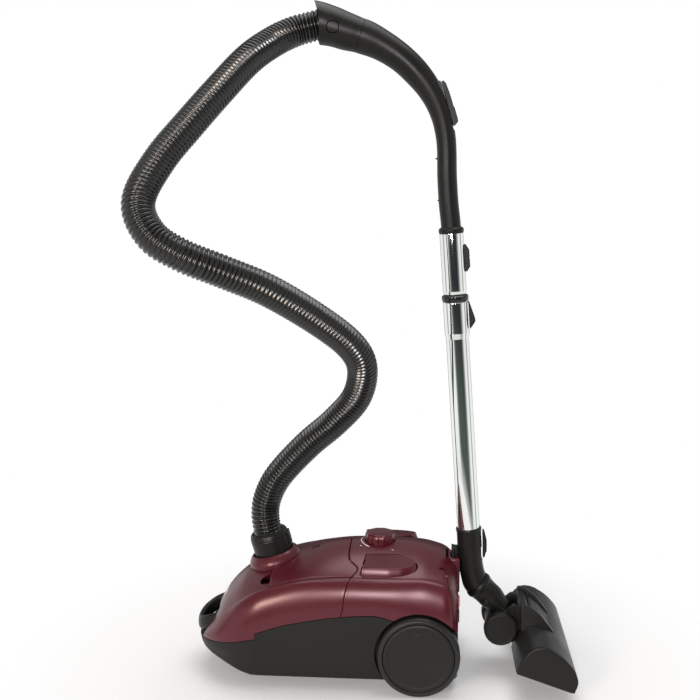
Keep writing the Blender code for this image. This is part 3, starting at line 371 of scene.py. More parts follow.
def rounded(points, radius, closed=True, segments=4, axis_at=None):
    """The outline with each corner rounded; a point's third number is its own radius."""
    result = []
    last = len(points) - 1
    for i, point in enumerate(points):
        here = Vector(point[:2])
        size = point[2] if len(point) > 2 else radius
        on_axis = axis_at is not None and abs(here.x - axis_at) < 1e-6
        if size <= 0 or on_axis or (not closed and i in (0, last)):
            result.append(here)
            continue
        back = Vector(points[i - 1][:2]) - here
        ahead = Vector(points[(i + 1) % len(points)][:2]) - here
        half = 0.5 * back.angle(ahead)
        reach = min(size / max(math.tan(half), 1e-3), 0.46 * back.length, 0.46 * ahead.length)
        start, end = here + back.normalized() * reach, here + ahead.normalized() * reach
        for k in range(segments + 1):
            t = k / segments
            result.append(start * (1 - t) ** 2 + here * 2 * t * (1 - t) + end * t * t)
    return result


def lathe(name, profile, origin, axis, steps=96, fillet=0.6, wave=None):
    """A closed outline of (radius, height) turned about an axis; wave(angle, radius, height) bends it."""
    outline = rounded(profile, fillet, axis_at=0.0)
    turn = Vector((0, 0, 1)).rotation_difference(Vector(axis))
    bm = bmesh.new()
    rings = []
    for radius, height in outline:
        if radius < 1e-6:
            rings.append([bm.verts.new(turn @ Vector((0, 0, height)) + Vector(origin))])
            continue
        ring = []
        for angle in turns(steps):
            far = radius * (wave(angle, radius, height) if wave else 1.0)
            local = Vector((far * math.cos(angle), far * math.sin(angle), height))
            ring.append(bm.verts.new(turn @ local + Vector(origin)))
        rings.append(ring)
    for a, b in zip(rings, rings[1:] + rings[:1]):
        for i in range(steps):
            j = (i + 1) % steps
            corners = [a[i % len(a)], a[j % len(a)], b[j % len(b)], b[i % len(b)]]
            unique = list(dict.fromkeys(corners))
            if len(unique) > 2:
                bm.faces.new(unique)
    return finish_mesh(name, bm)


def plate(name, outline, low, high, fillet=1.0, bevel=0.8, to_world=None):
    """An outline of (u, v) points with thickness from low to high along Y, or along to_world's w."""
    to_world = to_world or (lambda u, v, w: Vector((u, w, v)))
    bm = bmesh.new()
    verts = [bm.verts.new(to_world(u, v, low)) for u, v in rounded(outline, fillet)]
    face = bm.faces.new(verts)
    pushed = bmesh.ops.extrude_face_region(bm, geom=[face])
    moved = [v for v in pushed["geom"] if isinstance(v, bmesh.types.BMVert)]
    shift = to_world(0, 0, high) - to_world(0, 0, low)
    bmesh.ops.translate(bm, verts=moved, vec=shift)
    piece = finish_mesh(name, bm)
    return bevel_edges(piece, bevel, 3, 50) if bevel else piece


def rectangle(left, right, low, high):
    return ((left, low), (right, low), (right, high), (left, high))


def block(name, low, high, bevel=0.8):
    return plate(name, rectangle(low[0], high[0], low[2], high[2]), low[1], high[1], fillet=0, bevel=bevel)


def drill(radius, low, high, origin, axis=(0, 0, 1), steps=64):
    """A cylinder that cuts a round hole."""
    return lathe("tool", ((0, high), (radius, high), (radius, low), (0, low)), origin, axis, steps, 0)


def each_side(inner, outer):
    """For each side of the object: its sign, its name, and the Y limits of a band from inner to outer."""
    for side, word in SIDES:
        yield (side, word, *sorted((side * inner, side * outer)))


def oriented_block(name, centre, side, out, size, bevel=0.6):
    """A block whose sizes run along side, Y and out."""
    side, out, centre = Vector(side).normalized(), Vector(out).normalized(), Vector(centre)
    half_side, half_across, half_out = size[0] / 2, size[1] / 2, size[2] / 2
    outline = rectangle(-half_side, half_side, -half_out, half_out)
    return plate(name, outline, -half_across, half_across, fillet=0, bevel=bevel,
                 to_world=lambda u, v, w: centre + side * u + out * v + Vector((0, w, 0)))


def hermite(t, gap, a, b, slope_a, slope_b):
    """The cubic from a to b over a gap, at the share t of the way."""
    return ((2 * t ** 3 - 3 * t ** 2 + 1) * a + (t ** 3 - 2 * t ** 2 + t) * gap * slope_a
            + (3 * t ** 2 - 2 * t ** 3) * b + (t ** 3 - t ** 2) * gap * slope_b)


def spline(points, per_span, first=None, last=None):
    """A smooth curve through points of any dimension, spaced by the chords between them."""
    pts = np.array(points, dtype=float)
    gaps = np.maximum(np.linalg.norm(np.diff(pts[:, :3], axis=0), axis=1), 1e-6)
    slopes = np.zeros_like(pts)
    rises = np.diff(pts, axis=0) / gaps[:, None]
    slopes[0] = rises[0] if first is None else first
    slopes[-1] = rises[-1] if last is None else last
    for i in range(1, len(pts) - 1):
        share = gaps[i - 1] / (gaps[i - 1] + gaps[i])
        slopes[i] = rises[i - 1] * (1 - share) + rises[i] * share
    made = []
    for i, gap in enumerate(gaps):
        for k in range(per_span):
            made.append(hermite(k / per_span, gap, pts[i], pts[i + 1], slopes[i], slopes[i + 1]))
    made.append(pts[-1])
    return made


def swept(name, stations, wall, per_span=6, count=56, first=None, last=None):
    """A pipe through stations of (x, z, in-plane radius, across radius), smooth between them.

    A station's fifth number is its own wall.
    """
    rows = [(station[0], 0.0, *station[1:4], *(station[4:] or (wall,))) for station in stations]
    widen = lambda direction: None if direction is None else (*Vector(direction).normalized(), 0.0, 0.0, 0.0)
    fine = spline(rows, per_span, widen(first), widen(last))
    centres = [Vector(row[:3]) for row in fine]
    ends = len(centres) - 1
    tangents = [centres[min(i + 1, ends)] - centres[max(i - 1, 0)] for i in range(len(centres))]
    if first is not None:
        tangents[0] = Vector(first)
    if last is not None:
        tangents[-1] = Vector(last)
    bm = bmesh.new()

    def ring(centre, tangent, a, b):
        across = Vector((0, 1, 0))
        up = across.cross(tangent.normalized())
        return [bm.verts.new(centre + up * (a * math.cos(t)) + across * (b * math.sin(t)))
                for t in turns(count)]

    lip = 0.5
    outer = [ring(c, t, row[3], row[4]) for c, t, row in zip(centres, tangents, fine)]
    inner = [ring(c, t, row[3] - row[5], row[4] - row[5]) for c, t, row in zip(centres, tangents, fine)]
    start_lip = ring(centres[0], tangents[0], fine[0][3] - lip, fine[0][4] - lip)
    end_lip = ring(centres[-1], tangents[-1], fine[-1][3] - lip, fine[-1][4] - lip)
    stitch(bm, [start_lip] + outer + [end_lip] + list(reversed(inner)) + [start_lip], ends=False)
    return finish_mesh(name, bm)


# ---------------------------------------------------------------- the canister's outer surface
def through(points, x):
    """The smooth monotone curve through (x, value) points, flat beyond its ends."""
    xs, ys = np.array(points, dtype=float).T
    steps = np.diff(xs)
    rises = np.diff(ys) / steps
    slopes = np.concatenate(([rises[0]], np.zeros(len(xs) - 2), [rises[-1]]))
    for i in range(1, len(xs) - 1):
        if rises[i - 1] * rises[i] > 0:
            slopes[i] = 2 * rises[i - 1] * rises[i] / (rises[i - 1] + rises[i])
    x = min(max(x, xs[0]), xs[-1])
    i = min(max(int(np.searchsorted(xs, x)) - 1, 0), len(steps) - 1)
    return float(hermite((x - xs[i]) / steps[i], steps[i], ys[i], ys[i + 1], slopes[i], slopes[i + 1]))


def smoothstep(low, high, x):
    t = min(max((x - low) / (high - low), 0.0), 1.0)
    return t * t * (3 - 2 * t)


def half_width(x):
    if x < FULL_WIDTH_X:
        u = (FULL_WIDTH_X - x) / (FULL_WIDTH_X - NOSE_X)
        return WIDTH_LINE[0][1] * math.sqrt(max(1 - u * u, 0.0))
    width = through(WIDTH_LINE, x)
    bend = REAR_X - REAR_CORNER
    if x > bend:
        width += math.sqrt(max(REAR_CORNER ** 2 - (x - bend) ** 2, 0.0)) - REAR_CORNER
    return width


def seam_height(x):
    return through(FRONT_SEAM_LINE if x < STEP_X else REAR_SEAM_LINE, x)


def body_point(x, s):
    """A point of the upper body: s is 0 on top, 0.6 at the deck's edge and 1 at the side seam."""
    side = -1 if s < 0 else 1
    s = abs(s)
    width, top, seam, flank = half_width(x), through(TOP_LINE, x), seam_height(x), through(FLANK_LINE, x)
    edge_y, edge_z = DECK_SHARE * width, through(DECK_EDGE_LINE, x)
    dome_angle = 0.5 * math.pi * s
    dome = (width * math.sin(dome_angle), flank + (top - flank) * max(math.cos(dome_angle), 0.0) ** 0.8)
    if s <= DECK_PARAM:
        y = edge_y * s / DECK_PARAM
        creased = (y, top - (top - edge_z) * (y / max(edge_y, 1e-6)) ** 1.7)
    else:
        t = (s - DECK_PARAM) / (1 - DECK_PARAM)
        low = flank + 0.25 * (edge_z - flank)
        turn = 0.5 * math.pi * min(t / 0.75, 1.0)
        y = edge_y + (width - edge_y) * math.sin(turn)
        z = low + (edge_z - low) * math.cos(turn)
        if t > 0.75:
            z = low + (seam - low) * (t - 0.75) / 0.25
        creased = (y, z)
    share = smoothstep(-262, -205, x)
    y = dome[0] + share * (creased[0] - dome[0])
    z = dome[1] + share * (creased[1] - dome[1])
    return Vector((x, side * y, z))


def deck_z(x, y):
    s = abs(y) * DECK_PARAM / (DECK_SHARE * half_width(x))
    return body_point(x, s).z


def seam_x(s):
    return through(SHELL_SEAM, abs(s))


def nose_rows(count):
    start = NOSE_X + 0.8
    return [start + (STEP_X - 0.2 - start) * (i / count) ** 1.7 for i in range(count + 1)]


def evenly(low, high, count):
    return [low + (high - low) * i / count for i in range(count + 1)]


def grid_shell(name, point_at, columns, rows, keep=lambda s, r: True):
    """A wall on a grid of surface points, with a rounded lip all along its border."""
    bm = bmesh.new()
    verts = [[bm.verts.new(point_at(s, r)) for s in columns] for r in rows]
    for i in range(len(rows) - 1):
        for j in range(len(columns) - 1):
            if keep(0.5 * (columns[j] + columns[j + 1]), 0.5 * (rows[i] + rows[i + 1])):
                bm.faces.new((verts[i][j], verts[i][j + 1], verts[i + 1][j + 1], verts[i + 1][j]))
    for vert in [v for v in bm.verts if not v.link_faces]:
        bm.verts.remove(vert)
    centre = Vector((0, 0, 100))
    bm.normal_update()
    if sum(f.normal.dot(f.calc_center_median() - centre) for f in bm.faces) < 0:
        bmesh.ops.reverse_faces(bm, faces=bm.faces)
    piece = link_mesh(name, bm, outward=False)
    solid = piece.modifiers.new("wall", "SOLIDIFY")
    solid.thickness = WALL * MM
    solid.offset = -1.0
    return bevel_edges(piece, 0.45, 2, 60)


DECK_COLUMNS = evenly(-DECK_PARAM, DECK_PARAM, 44)
SIDE_COLUMNS = evenly(DECK_PARAM, 1.0, 26)
ALL_COLUMNS = [-s for s in reversed(SIDE_COLUMNS[1:])] + DECK_COLUMNS + SIDE_COLUMNS[1:]


def well_tools(radius, inner_y, steps):
    return [drill(radius, 0, 60, (AXLE_X, side * inner_y, WHEEL_R), (0, side, 0), steps) for side, _ in SIDES]


def nose_insert_frame():
    x = NOSE_INSERT_X
    low, high = through(TOP_LINE, x - 5), through(TOP_LINE, x + 5)
    slope = Vector((10, 0, high - low)).normalized()
    return Vector((x, 0, 0.5 * (low + high))), slope, Vector((-slope.z, 0, slope.x))


def corner_liner(name, side):
    """A dark strip behind the corner seam, so that no light comes through it; its near-black finish is
    painted shade in the seam.
    """
    def inner_point(s, r):
        point = body_point(91 + 21 * r, s)
        centre = Vector((point[0], 0, 110))
        return point - (Vector(point) - centre).normalized() * LINER_DEPTH

    columns = sorted(side * s for s in evenly(0.47, 0.96, 22))
    liner = grid_shell(name, inner_point, columns, evenly(0, 1, 8))
    return carve(liner, *well_tools(WELL_R, WELL_Y, 96))


def make_shells():
    front_end = LID_FRONT_X - 0.4
    front_rows = nose_rows(34) + [STEP_X + 0.2, -187.0, -182.0, -177.0, front_end]
    lid_rows = [i / 26 for i in range(1, 27)]

    def front_point(s, r):
        if r < 0:
            return body_point(r, s)
        return body_point(front_end + (seam_x(s) - SEAM_HALF - front_end) * r, s)

    front = grid_shell("front_shell_skin", front_point, ALL_COLUMNS, front_rows + lid_rows,
                       lambda s, r: abs(s) > DECK_PARAM or r < front_end)

    def lid_point(s, r):
        start = LID_FRONT_X + 0.4
        return body_point(start + (seam_x(s) - LID_SEAM_HALF - start) * r, s)

    lid = grid_shell("bag_lid_skin", lid_point, [s * LID_SHARE for s in DECK_COLUMNS], evenly(0, 1, 34))

    def rear_point(s, r):
        start = seam_x(s) + SEAM_HALF
        span = REAR_X - start
        straight = 1 - REAR_CORNER / span
        if r <= 1:
            return body_point(start + span * straight * r, s)
        return body_point(REAR_X - REAR_CORNER * (1 - math.sin(0.5 * math.pi * (r - 1))), s)

    rear = grid_shell("rear_shell_skin", rear_point, ALL_COLUMNS,
                      evenly(0, 1, 36) + [1 + i / 10 for i in range(1, 11)])

    centre, slope, out = nose_insert_frame()
    front_tools = [drill(RING_R + 0.4, -60, 60, INLET_BASE, INLET_AXIS, 96),
                   block("tool", (-320, -50, 57), (-251.5, 50, 108), 8),
                   oriented_block("tool", centre - out * 1.6, slope, out, (16.6, 40.6, 14), 0)]
    front_tools += [drill(13, -30, 60, (-174, side * 66, 170), steps=48) for side, _ in SIDES]
    carve(front, *front_tools)
    carve(lid, drill(RING_R + 0.4, -60, 60, INLET_BASE, INLET_AXIS, 96),
          block("tool", (-112, -9, 180), (-100, 1, 215), 0))
    rear_tools = well_tools(WELL_R, WELL_Y, 96)
    rear_tools.append(drill(KNOB_R + 0.6, -20, 40, (KNOB_X, 0, 195), steps=72))
    rear_tools += [pedal_solid("tool", side, 0.5, 3.0) for side, _ in SIDES]
    rear_tools.append(block("tool", (100, -22, 128), (140, 22, 230), 0))
    rear_tools += [block("tool", (88.5, low, 174), (96.5, high, 210), 1.5)
                   for _, _, low, high in each_side(57, 63)]
    rear_tools += [plate("tool", CORNER_SEAM, low, high, 0, 0) for _, _, low, high in each_side(52, 116)]
    carve(rear, *rear_tools)
    for piece, node in ((front, "front_shell"), (lid, "bag_lid"), (rear, "rear_shell")):
        stand_for(piece, node)
    for side, word, low, high in each_side(51, 79):
        add_to(block("finger_well_" + word, (-189, low, 143), (-160, high, 153), 1.0), "front_shell")
        add_to(corner_liner("corner_liner_" + word, side), "rear_shell", None, SHADOW_BLACK)
    for _, word, low, high in each_side(56, 64):
        # A charcoal block at the bottom of each notch; its dark colour is painted shade in the recess.
        notch = block("deck_notch_" + word, (86, low, 174), (100, high, 178.5), 0.6)
        add_to(notch, "rear_shell", "charcoal")


# ---------------------------------------------------------------- pedals, knob and inlet
def pedal_outline():
    """The pad's plan, with its rear end smoothed into one even curve."""
    corners = rounded(PEDAL_OUTLINE, 6, segments=6)
    points = []
    for a, b in zip(corners, corners[1:] + corners[:1]):
        steps = max(1, round((b - a).length / 1.3))
        points += [a.lerp(b, k / steps) for k in range(steps)]
    count, reach = len(points), 6
    smooth = []
    for i, point in enumerate(points):
        around = [points[(i + k) % count] for k in range(-reach, reach + 1)]
        mean = sum(around, Vector((0, 0))) / len(around)
        smooth.append(point.lerp(mean, smoothstep(-8, 6, point.x)))
    return smooth


def pedal_solid(name, side, grow=0.0, over=0.0):
    """A D-shaped pad whose outer edge slopes away; grow makes it a tool for its hole."""
    outline = pedal_outline()
    middle = Vector((12.0, -66.0))
    count = len(outline)
    normals = []
    for i in range(count):
        along = (outline[(i + 1) % count] - outline[i - 1]).normalized()
        normal = Vector((along.y, -along.x))
        normals.append(normal if normal.dot(outline[i] - middle) > 0 else -normal)
    loops = ((0.0, -22.0), (0.0, over), (0.0, over)) if grow else \
        ((0.0, -22.0), (0.0, -9.5), (0.82, -0.9), (0.95, -0.2), (1.15, 0.0), (1.35, 0.0))
    bm = bmesh.new()
    rings = []
    for inset, rise in loops:
        ring = []
        for point, normal in zip(outline, normals):
            outer = smoothstep(0, 1, (-50 - point.y) / 14)
            width = 1.0 + 2.7 * outer
            drop = rise * (0.15 + 0.85 * outer) if -10 < rise < 0 else rise
            place = point + normal * (grow - inset * width)
            fall = (-43 - place.y) * PEDAL_TILT[side] - PEDAL_LIFT[side]
            ring.append(bm.verts.new((place.x, -place.y * side, PEDAL_Z - fall + drop)))
        rings.append(ring)
    stitch(bm, rings)
    bmesh.ops.remove_doubles(bm, verts=bm.verts, dist=1e-4)
    return finish_mesh(name, bm, 24)


def make_pedals():
    for side, node in ((-1, "pedal_switch"), (1, "pedal_rewind")):
        stand_for(pedal_solid(node + "_pad", side), node)
        make_pedal_mark(node, side)


def make_pedal_mark(node, side):
    """A small raised ring mark on each pad; the switch's ring is open."""
    centre = Vector((8.0, -63.0))
    bm = bmesh.new()
    opening = 0.55 if side < 0 else 0.0
    angles = evenly(0.5 * math.pi + opening, 2.5 * math.pi - opening, 40)
    rows = []
    for angle in angles:
        rows.append([pedal_top(bm, centre, radius, angle, side, lift)
                     for radius, lift in ((4.2, -0.4), (4.2, 0.22), (5.2, 0.22), (5.2, -0.4))])
    stitch(bm, rows)
    bmesh.ops.remove_doubles(bm, verts=bm.verts, dist=1e-4)
    add_to(finish_mesh(node + "_mark", bm), node)


def pedal_top(bm, centre, radius, angle, side, lift):
    x, y = centre.x + radius * math.cos(angle), centre.y + radius * math.sin(angle)
    fall = (-43 - y) * PEDAL_TILT[side] - PEDAL_LIFT[side]
    return bm.verts.new((x, -y * side, PEDAL_Z - fall + lift))


def make_knob():
    height = KNOB_TOP - KNOB_LOW
    profile = ((0, height - 0.6), (10, height - 0.6), (KNOB_R - 7, height - 0.2), (KNOB_R - 3.4, height, 1.5),
               (KNOB_R - 1, height - 2.2, 2.0), (KNOB_R, height - 6, 3.0), (KNOB_R, 1.0), (KNOB_R - 2, 0),
               (8, 0), (8, -12), (0, -12))

    def grip_wave(angle, radius, level):
        if radius < KNOB_R - 8 or level < 0:
            return 1.0
        strength = smoothstep(KNOB_R - 8, KNOB_R - 1, radius) * 0.055
        return 1 - strength * (0.5 - 0.5 * math.cos(10 * angle)) ** 1.4

    stand_for(lathe("power_knob_grip", profile, (KNOB_X, 0, KNOB_LOW), (0, 0, 1), 160, 0.8, grip_wave),
              "power_knob")
    make_knob_mark()


def make_knob_mark():
    """A plain tapering arc printed on the deck round the knob, and two printed dots just outside it."""
    bm = bmesh.new()
    angles = evenly(math.radians(118), math.radians(236), 40)
    rows = []
    for i, angle in enumerate(angles):
        half = 0.25 + 0.6 * i / (len(angles) - 1)
        row = []
        for radius, lift in ((30 - half, -0.5), (30 - half, 0.12), (30 + half, 0.12), (30 + half, -0.5)):
            x, y = KNOB_X + radius * math.cos(angle), radius * math.sin(angle)
            row.append(bm.verts.new((x, y, deck_z(x, y) + lift)))
        rows.append(row)
    stitch(bm, rows)
    add_to(finish_mesh("dial_mark", bm), "rear_shell", "pale_pink", PRINT)
    for k, (x, y) in enumerate(((-34.0, -22.0), (16.0, -33.0))):
        z = deck_z(x, y)
        dot = ((0, 0.15), (1.3, 0.15), (1.3, -0.5), (0, -0.5))
        add_to(lathe(f"dial_dot_{k}", dot, (x, y, z), (0, 0, 1), 24, 0.05), "rear_shell", "pale_pink", PRINT)


def make_inlet():
    flange = ((CUFF_R + 0.5, 8.4), (CUFF_R + 1.2, 10.2, 0.6), (CUFF_R + 3.6, 10, 1.4),
              (RING_R - 4.6, 7.4, 2.5), (RING_R - 1.6, 2.6, 3.0), (RING_R, -1.2, 1.5), (RING_R, -22),
              (CUFF_R + 0.5, -22))
    stand_for(lathe("inlet_flange", flange, INLET_BASE, INLET_AXIS, 128), "inlet_ring")
    top = CUFF_LENGTH
    cuff = ((HOSE_R + 0.6, top - 2.6), (HOSE_R + 1.6, top - 0.4, 1.2), (HOSE_R + 4.6, top, 2.0),
            (CUFF_R - 1.6, top - 3.4, 2.4), (CUFF_R - 0.2, top - 9), (CUFF_R - 0.9, top - 10.6, 0.5),
            (CUFF_R - 0.3, top - 12, 0.5), (CUFF_R - 1.4, 2), (CUFF_R - 2, -18), (CUFF_R - 4.0, -20),
            (CUFF_R - 4.0, -30), (HOSE_R + 0.1, -30), (HOSE_R + 0.1, -2), (HOSE_R + 0.6, -1))
    cuff_piece = lathe("hose_cuff_sleeve", cuff, INLET_BASE, INLET_AXIS, 112)
    pocket = oriented_block("tool", INLET_BASE + INLET_SIDE * (CUFF_R - 2.4) + INLET_AXIS * 26,
                            INLET_SIDE, INLET_AXIS, (8.8, 18.8, 24.8), 0)
    stand_for(carve(cuff_piece, pocket), "hose_cuff")
    latch = oriented_block("cuff_latch_tab", INLET_BASE + INLET_SIDE * (CUFF_R - 1.4) + INLET_AXIS * 26,
                           INLET_SIDE, INLET_AXIS, (5.4, 17.4, 23.4), 1.6)
    stand_for(latch, "cuff_latch")
    for k in range(4):
        rib = oriented_block(f"cuff_latch_rib_{k}", INLET_BASE + INLET_SIDE * (CUFF_R + 1.2)
                             + INLET_AXIS * (19 + 3 * k), INLET_SIDE, INLET_AXIS, (1.0, 11, 1.2), 0.4)
        add_to(rib, "cuff_latch")


# ---------------------------------------------------------------- base, wheels and rear
def base_section(x, inset):
    gap = SIDE_GAP * (2 - smoothstep(-285, -250, x))
    width, seam, low = half_width(x) - inset, seam_height(x) - gap, through(BOTTOM_LINE, x) + inset
    width = max(width, 4.0)
    narrow = min(BASE_TAPER, 0.35 * width)
    drop = seam - low
    corner = min(10.0, 0.4 * drop, 0.3 * width)
    lip = 0 if inset else 0.6
    if inset:
        seam += 20.0
    points = [(width - lip, seam), (width, seam - 0.6)] if lip else [(width, seam)]
    points += [(width - 0.1 * narrow, seam - 0.2 * drop), (width - 0.4 * narrow, low + 0.5 * drop)]
    centre = (width - narrow - corner, low + corner)
    for k in range(7):
        angle = 0.5 * math.pi * k / 6
        points.append((centre[0] + corner * math.cos(angle), centre[1] - corner * math.sin(angle)))
    return points + [(0.5 * (width - narrow - corner), low), (0, low)]


def base_solid(name, xs, inset):
    bm = bmesh.new()
    rows = []
    for x in xs:
        half = base_section(x, inset)
        points = half + [(-y, z) for y, z in reversed(half[:-1])]
        rows.append([bm.verts.new((x, y, z)) for y, z in points])
    stitch(bm, rows)
    return finish_mesh(name, bm)


def make_base():
    corner_xs = [96, 100, 104, 107, 110, 112.5, 114.5, 116, 117.2, REAR_X]
    rear_xs = [STEP_X + 1.0] + evenly(-188, 92, 40) + corner_xs
    base = base_solid("base_housing_shell", nose_rows(34) + rear_xs, 0.0)
    cavity_xs = [x + 4.0 for x in nose_rows(12)[3:-1]] + [-190] + evenly(-184, 100, 12) + [107, REAR_X - WALL]
    cavity = base_solid("tool", cavity_xs, WALL)
    carve(cavity, *well_tools(WELL_R + WALL, WELL_Y - WALL, 48))
    opening = block("tool", (108, -83.5, BACK_PANEL_LOW - 0.3), (140, 83.5, 200), 0)
    carve(base, *well_tools(WELL_R, WELL_Y, 96), cavity, drill(31.3, -10, 30, (CASTER_X, 0, 10)), opening)
    stand_for(base, "base_housing")


def make_wheels():
    width = WHEEL_OUTER_Y - WHEEL_INNER_Y
    for side, word in SIDES:
        origin, axis = (AXLE_X, side * WHEEL_INNER_Y, WHEEL_R), (0, side, 0)
        tyre = ((WHEEL_R - 4.2, width - 0.2, 2.0), (WHEEL_R - 1.2, width - 2.4, 2.4),
                (WHEEL_R, width - 6, 2.0), (WHEEL_R, width - 12), (WHEEL_R - 0.6, width - 12.8, 0.3),
                (WHEEL_R, width - 13.6), (WHEEL_R, 4, 2), (WHEEL_R - 3, 0, 2), (CAP_R + 0.5, 0),
                (CAP_R + 0.5, width - 0.7, 0.5), (CAP_R + 1.6, width + 0.2, 0.5))
        stand_for(lathe("tyre_" + word, tyre, origin, axis, 160), "rear_wheel_" + word)
        face = width + 1.5
        cap = ((0, face - 0.9), (20, face - 0.9), (CAP_R - 9, face - 0.7), (CAP_R - 6, face - 0.1, 1.5),
               (CAP_R - 3.5, face, 1.5), (CAP_R - 0.6, face - 1.0, 0.8), (CAP_R, face - 2.2), (CAP_R, 4),
               (16, 4), (16, 0), (AXLE_R + 0.3, 0), (AXLE_R + 0.3, width - 8), (0, width - 8))
        stand_for(lathe("wheel_disc_" + word, cap, origin, axis, 160), "wheel_cap_" + word)
        make_cap_marks(word, side, face)


def make_cap_marks(word, side, face):
    """Three low moulded lens shapes near the disc's rim."""
    for k in range(3):
        angle = math.radians(90 + 120 * k)
        centre = Vector((AXLE_X + 38 * math.cos(angle), side * (WHEEL_INNER_Y + face - 1.1),
                         WHEEL_R + 38 * math.sin(angle)))
        bm = bmesh.new()
        bmesh.ops.create_uvsphere(bm, u_segments=32, v_segments=12, radius=1.0)
        along = Vector((-math.sin(angle), 0, math.cos(angle)))
        out = Vector((math.cos(angle), 0, math.sin(angle)))
        for vert in bm.verts:
            local = vert.co.copy()
            vert.co = (centre + along * local.x * 9 + out * local.y * 2.2
                       + Vector((0, side, 0)) * local.z * 0.75)
        add_to(finish_mesh(f"wheel_mark_{word}_{k}", bm), "wheel_cap_" + word)


def make_caster():
    cup = ((4.3, 17), (10, 17), (10, 14), (31, 14), (31, 0), (28.6, 0), (28.6, 11.5), (4.3, 11.5))
    stand_for(lathe("caster_cup", cup, (CASTER_X, 0, 17.2), (0, 0, 1), 72, 0.5), "caster_housing")
    top = 28.2
    fork = lathe("caster_carrier", ((0, 8), (4, 8), (4, 0), (27.5, 0), (27.5, -2.4), (0, -2.4)),
                 (CASTER_X, 0, top), (0, 0, 1), 72, 0.3)
    cheek = ((CASTER_WHEEL_X - 8, top - 1, 0), (CASTER_WHEEL_X - 8, 9, 5), (CASTER_WHEEL_X, 7.5, 5),
             (CASTER_WHEEL_X + 8, 9, 5), (CASTER_WHEEL_X + 8, top - 1, 0))
    fuse(fork, *[plate("tool", cheek, low, high, bevel=0.4) for _, _, low, high in each_side(8.3, 11.3)])
    bore = drill(2.3, -20, 20, (CASTER_WHEEL_X, 0, CASTER_R), (0, 1, 0), 32)
    stand_for(carve(fork, bore), "caster_fork")
    wheel = ((2.3, 7.5), (CASTER_R - 4, 7.5), (CASTER_R - 3, 6.9), (CASTER_R - 1, 7.5, 1), (CASTER_R, 6.5, 1),
             (CASTER_R, -6.5, 1), (CASTER_R - 1, -7.5, 1), (CASTER_R - 3, -6.9), (CASTER_R - 4, -7.5),
             (2.3, -7.5))
    roller = lathe("caster_roller", wheel, (CASTER_WHEEL_X, 0, CASTER_R), (0, 1, 0), 64, 0.3)
    stand_for(roller, "caster_wheel")


def make_handle():
    route = ((-255, -45, 88), (-272, -40, 82), (-285, -28, 75), (-291, 0, 71), (-285, 28, 75), (-272, 40, 82),
             (-255, 45, 88))
    fine = [Vector(p) for p in spline(route, 9)]
    squarish = lambda v: math.copysign(abs(v) ** 0.75, v)
    bm = bmesh.new()
    rows = []
    last = len(fine) - 1
    for i, point in enumerate(fine):
        along = fine[min(i + 1, last)] - fine[max(i - 1, 0)]
        flat = Vector((along.x, along.y, 0)).normalized()
        out = Vector((flat.y, -flat.x, 0))
        rows.append([bm.verts.new(point + out * 5.6 * squarish(math.cos(angle))
                                  + Vector((0, 0, 11.6 * squarish(math.sin(angle)))))
                     for angle in turns(32)])
    stitch(bm, rows)
    bar = finish_mesh("carry_bar", bm)
    tools = [block("tool", (-250.8, -49, 56), (-247, 49, 104), 0.8)]
    tools += [block("tool", (-262, low, 72), (-249, high, 98), 1.5)
              for _, _, low, high in each_side(41.5, 47)]
    stand_for(fuse(bar, *tools), "carry_handle")


def make_nose_insert():
    centre, slope, out = nose_insert_frame()
    insert = oriented_block("nose_trim", centre - out * 1.3, slope, out, (15.6, 39.6, 2.2), 0.9)
    stand_for(insert, "nose_insert")


def make_lid_window():
    top = deck_z(-106.0, -4.0) - 0.7
    # The well's near-black finish is painted shade inside the window.
    frame_piece = block("lid_window_well", (-111.5, -8.5, top - 3.6), (-100.5, 0.5, top), 0.3)
    stand_for(frame_piece, "lid_window", SHADOW_BLACK)


def make_rear():
    edge = []
    for s in evenly(0, 0.92, 40):
        point = body_point(REAR_X, s)
        edge.append((point.y * 0.955, point.z - WALL - 1.2, 0))
    edge.append((83.0, BACK_PANEL_LOW + 47, 1))
    edge.append((83.0, BACK_PANEL_LOW, 3))
    outline = edge + [(-y, z, r) for y, z, r in reversed(edge) if y > 0.01]
    facing_back = lambda u, v, w: Vector((w, u, v))
    panel = plate("rear_cover", outline, REAR_X - 3.0, REAR_X - 0.4, 0, 0.5, facing_back)
    tools = [block("tool", (100, -22, 129.5), (140, 22, 230), 0),
             block("tool", (105, -52, 92), (130, -26, 134), 0)]
    for i in range(4):
        low = 54 + 9 * i
        tools.append(plate("tool", rectangle(12, 66, low, low + 4), 105, 130, 1.9, 0, facing_back))
    stand_for(carve(panel, *tools), "rear_panel")
    bracket = block("parking_bracket_shell", (103, -21.8, 131), (121.6, 21.8, 186), 2.2)
    stand_for(carve(bracket, block("tool", (107.5, -14, 143), (114.5, 14, 200), 0),
                    block("tool", (112, -6, 143), (130, 6, 200), 0)), "parking_bracket")
    web = ((110.5, 146), (110.5, 200), (117.6, 200), (118.9, 184), (120.4, 172), (122.8, 160), (119.5, 150),
           (115.5, 146))
    hook = plate("park_hook_blade", web, -4.8, 4.8, fillet=1.0, bevel=0.9)
    stand_for(fuse(hook, block("tool", (109, -12.5, 146.4), (112.8, 12.5, 199.6), 1.0),
                   block("tool", (110, -10, 190), (118.4, 10, 199.6), 1.0)), "park_hook")
    outlet = block("cord_outlet_frame", (108, -51.5, 92.5), (121, -26.5, 113.5), 2.5)
    stand_for(carve(outlet, block("tool", (105, -43, 100), (130, -35, 106), 1.5)), "cord_outlet")
    stand_for(block("cord_stop_block", (110, -46, 114.5), (121.5, -32, 133), 2.8), "cord_stop")


# ---------------------------------------------------------------- wand
def on_wand(length, behind=0.0):
    return WAND_FOOT + WAND_UP * length + WAND_BACK * behind


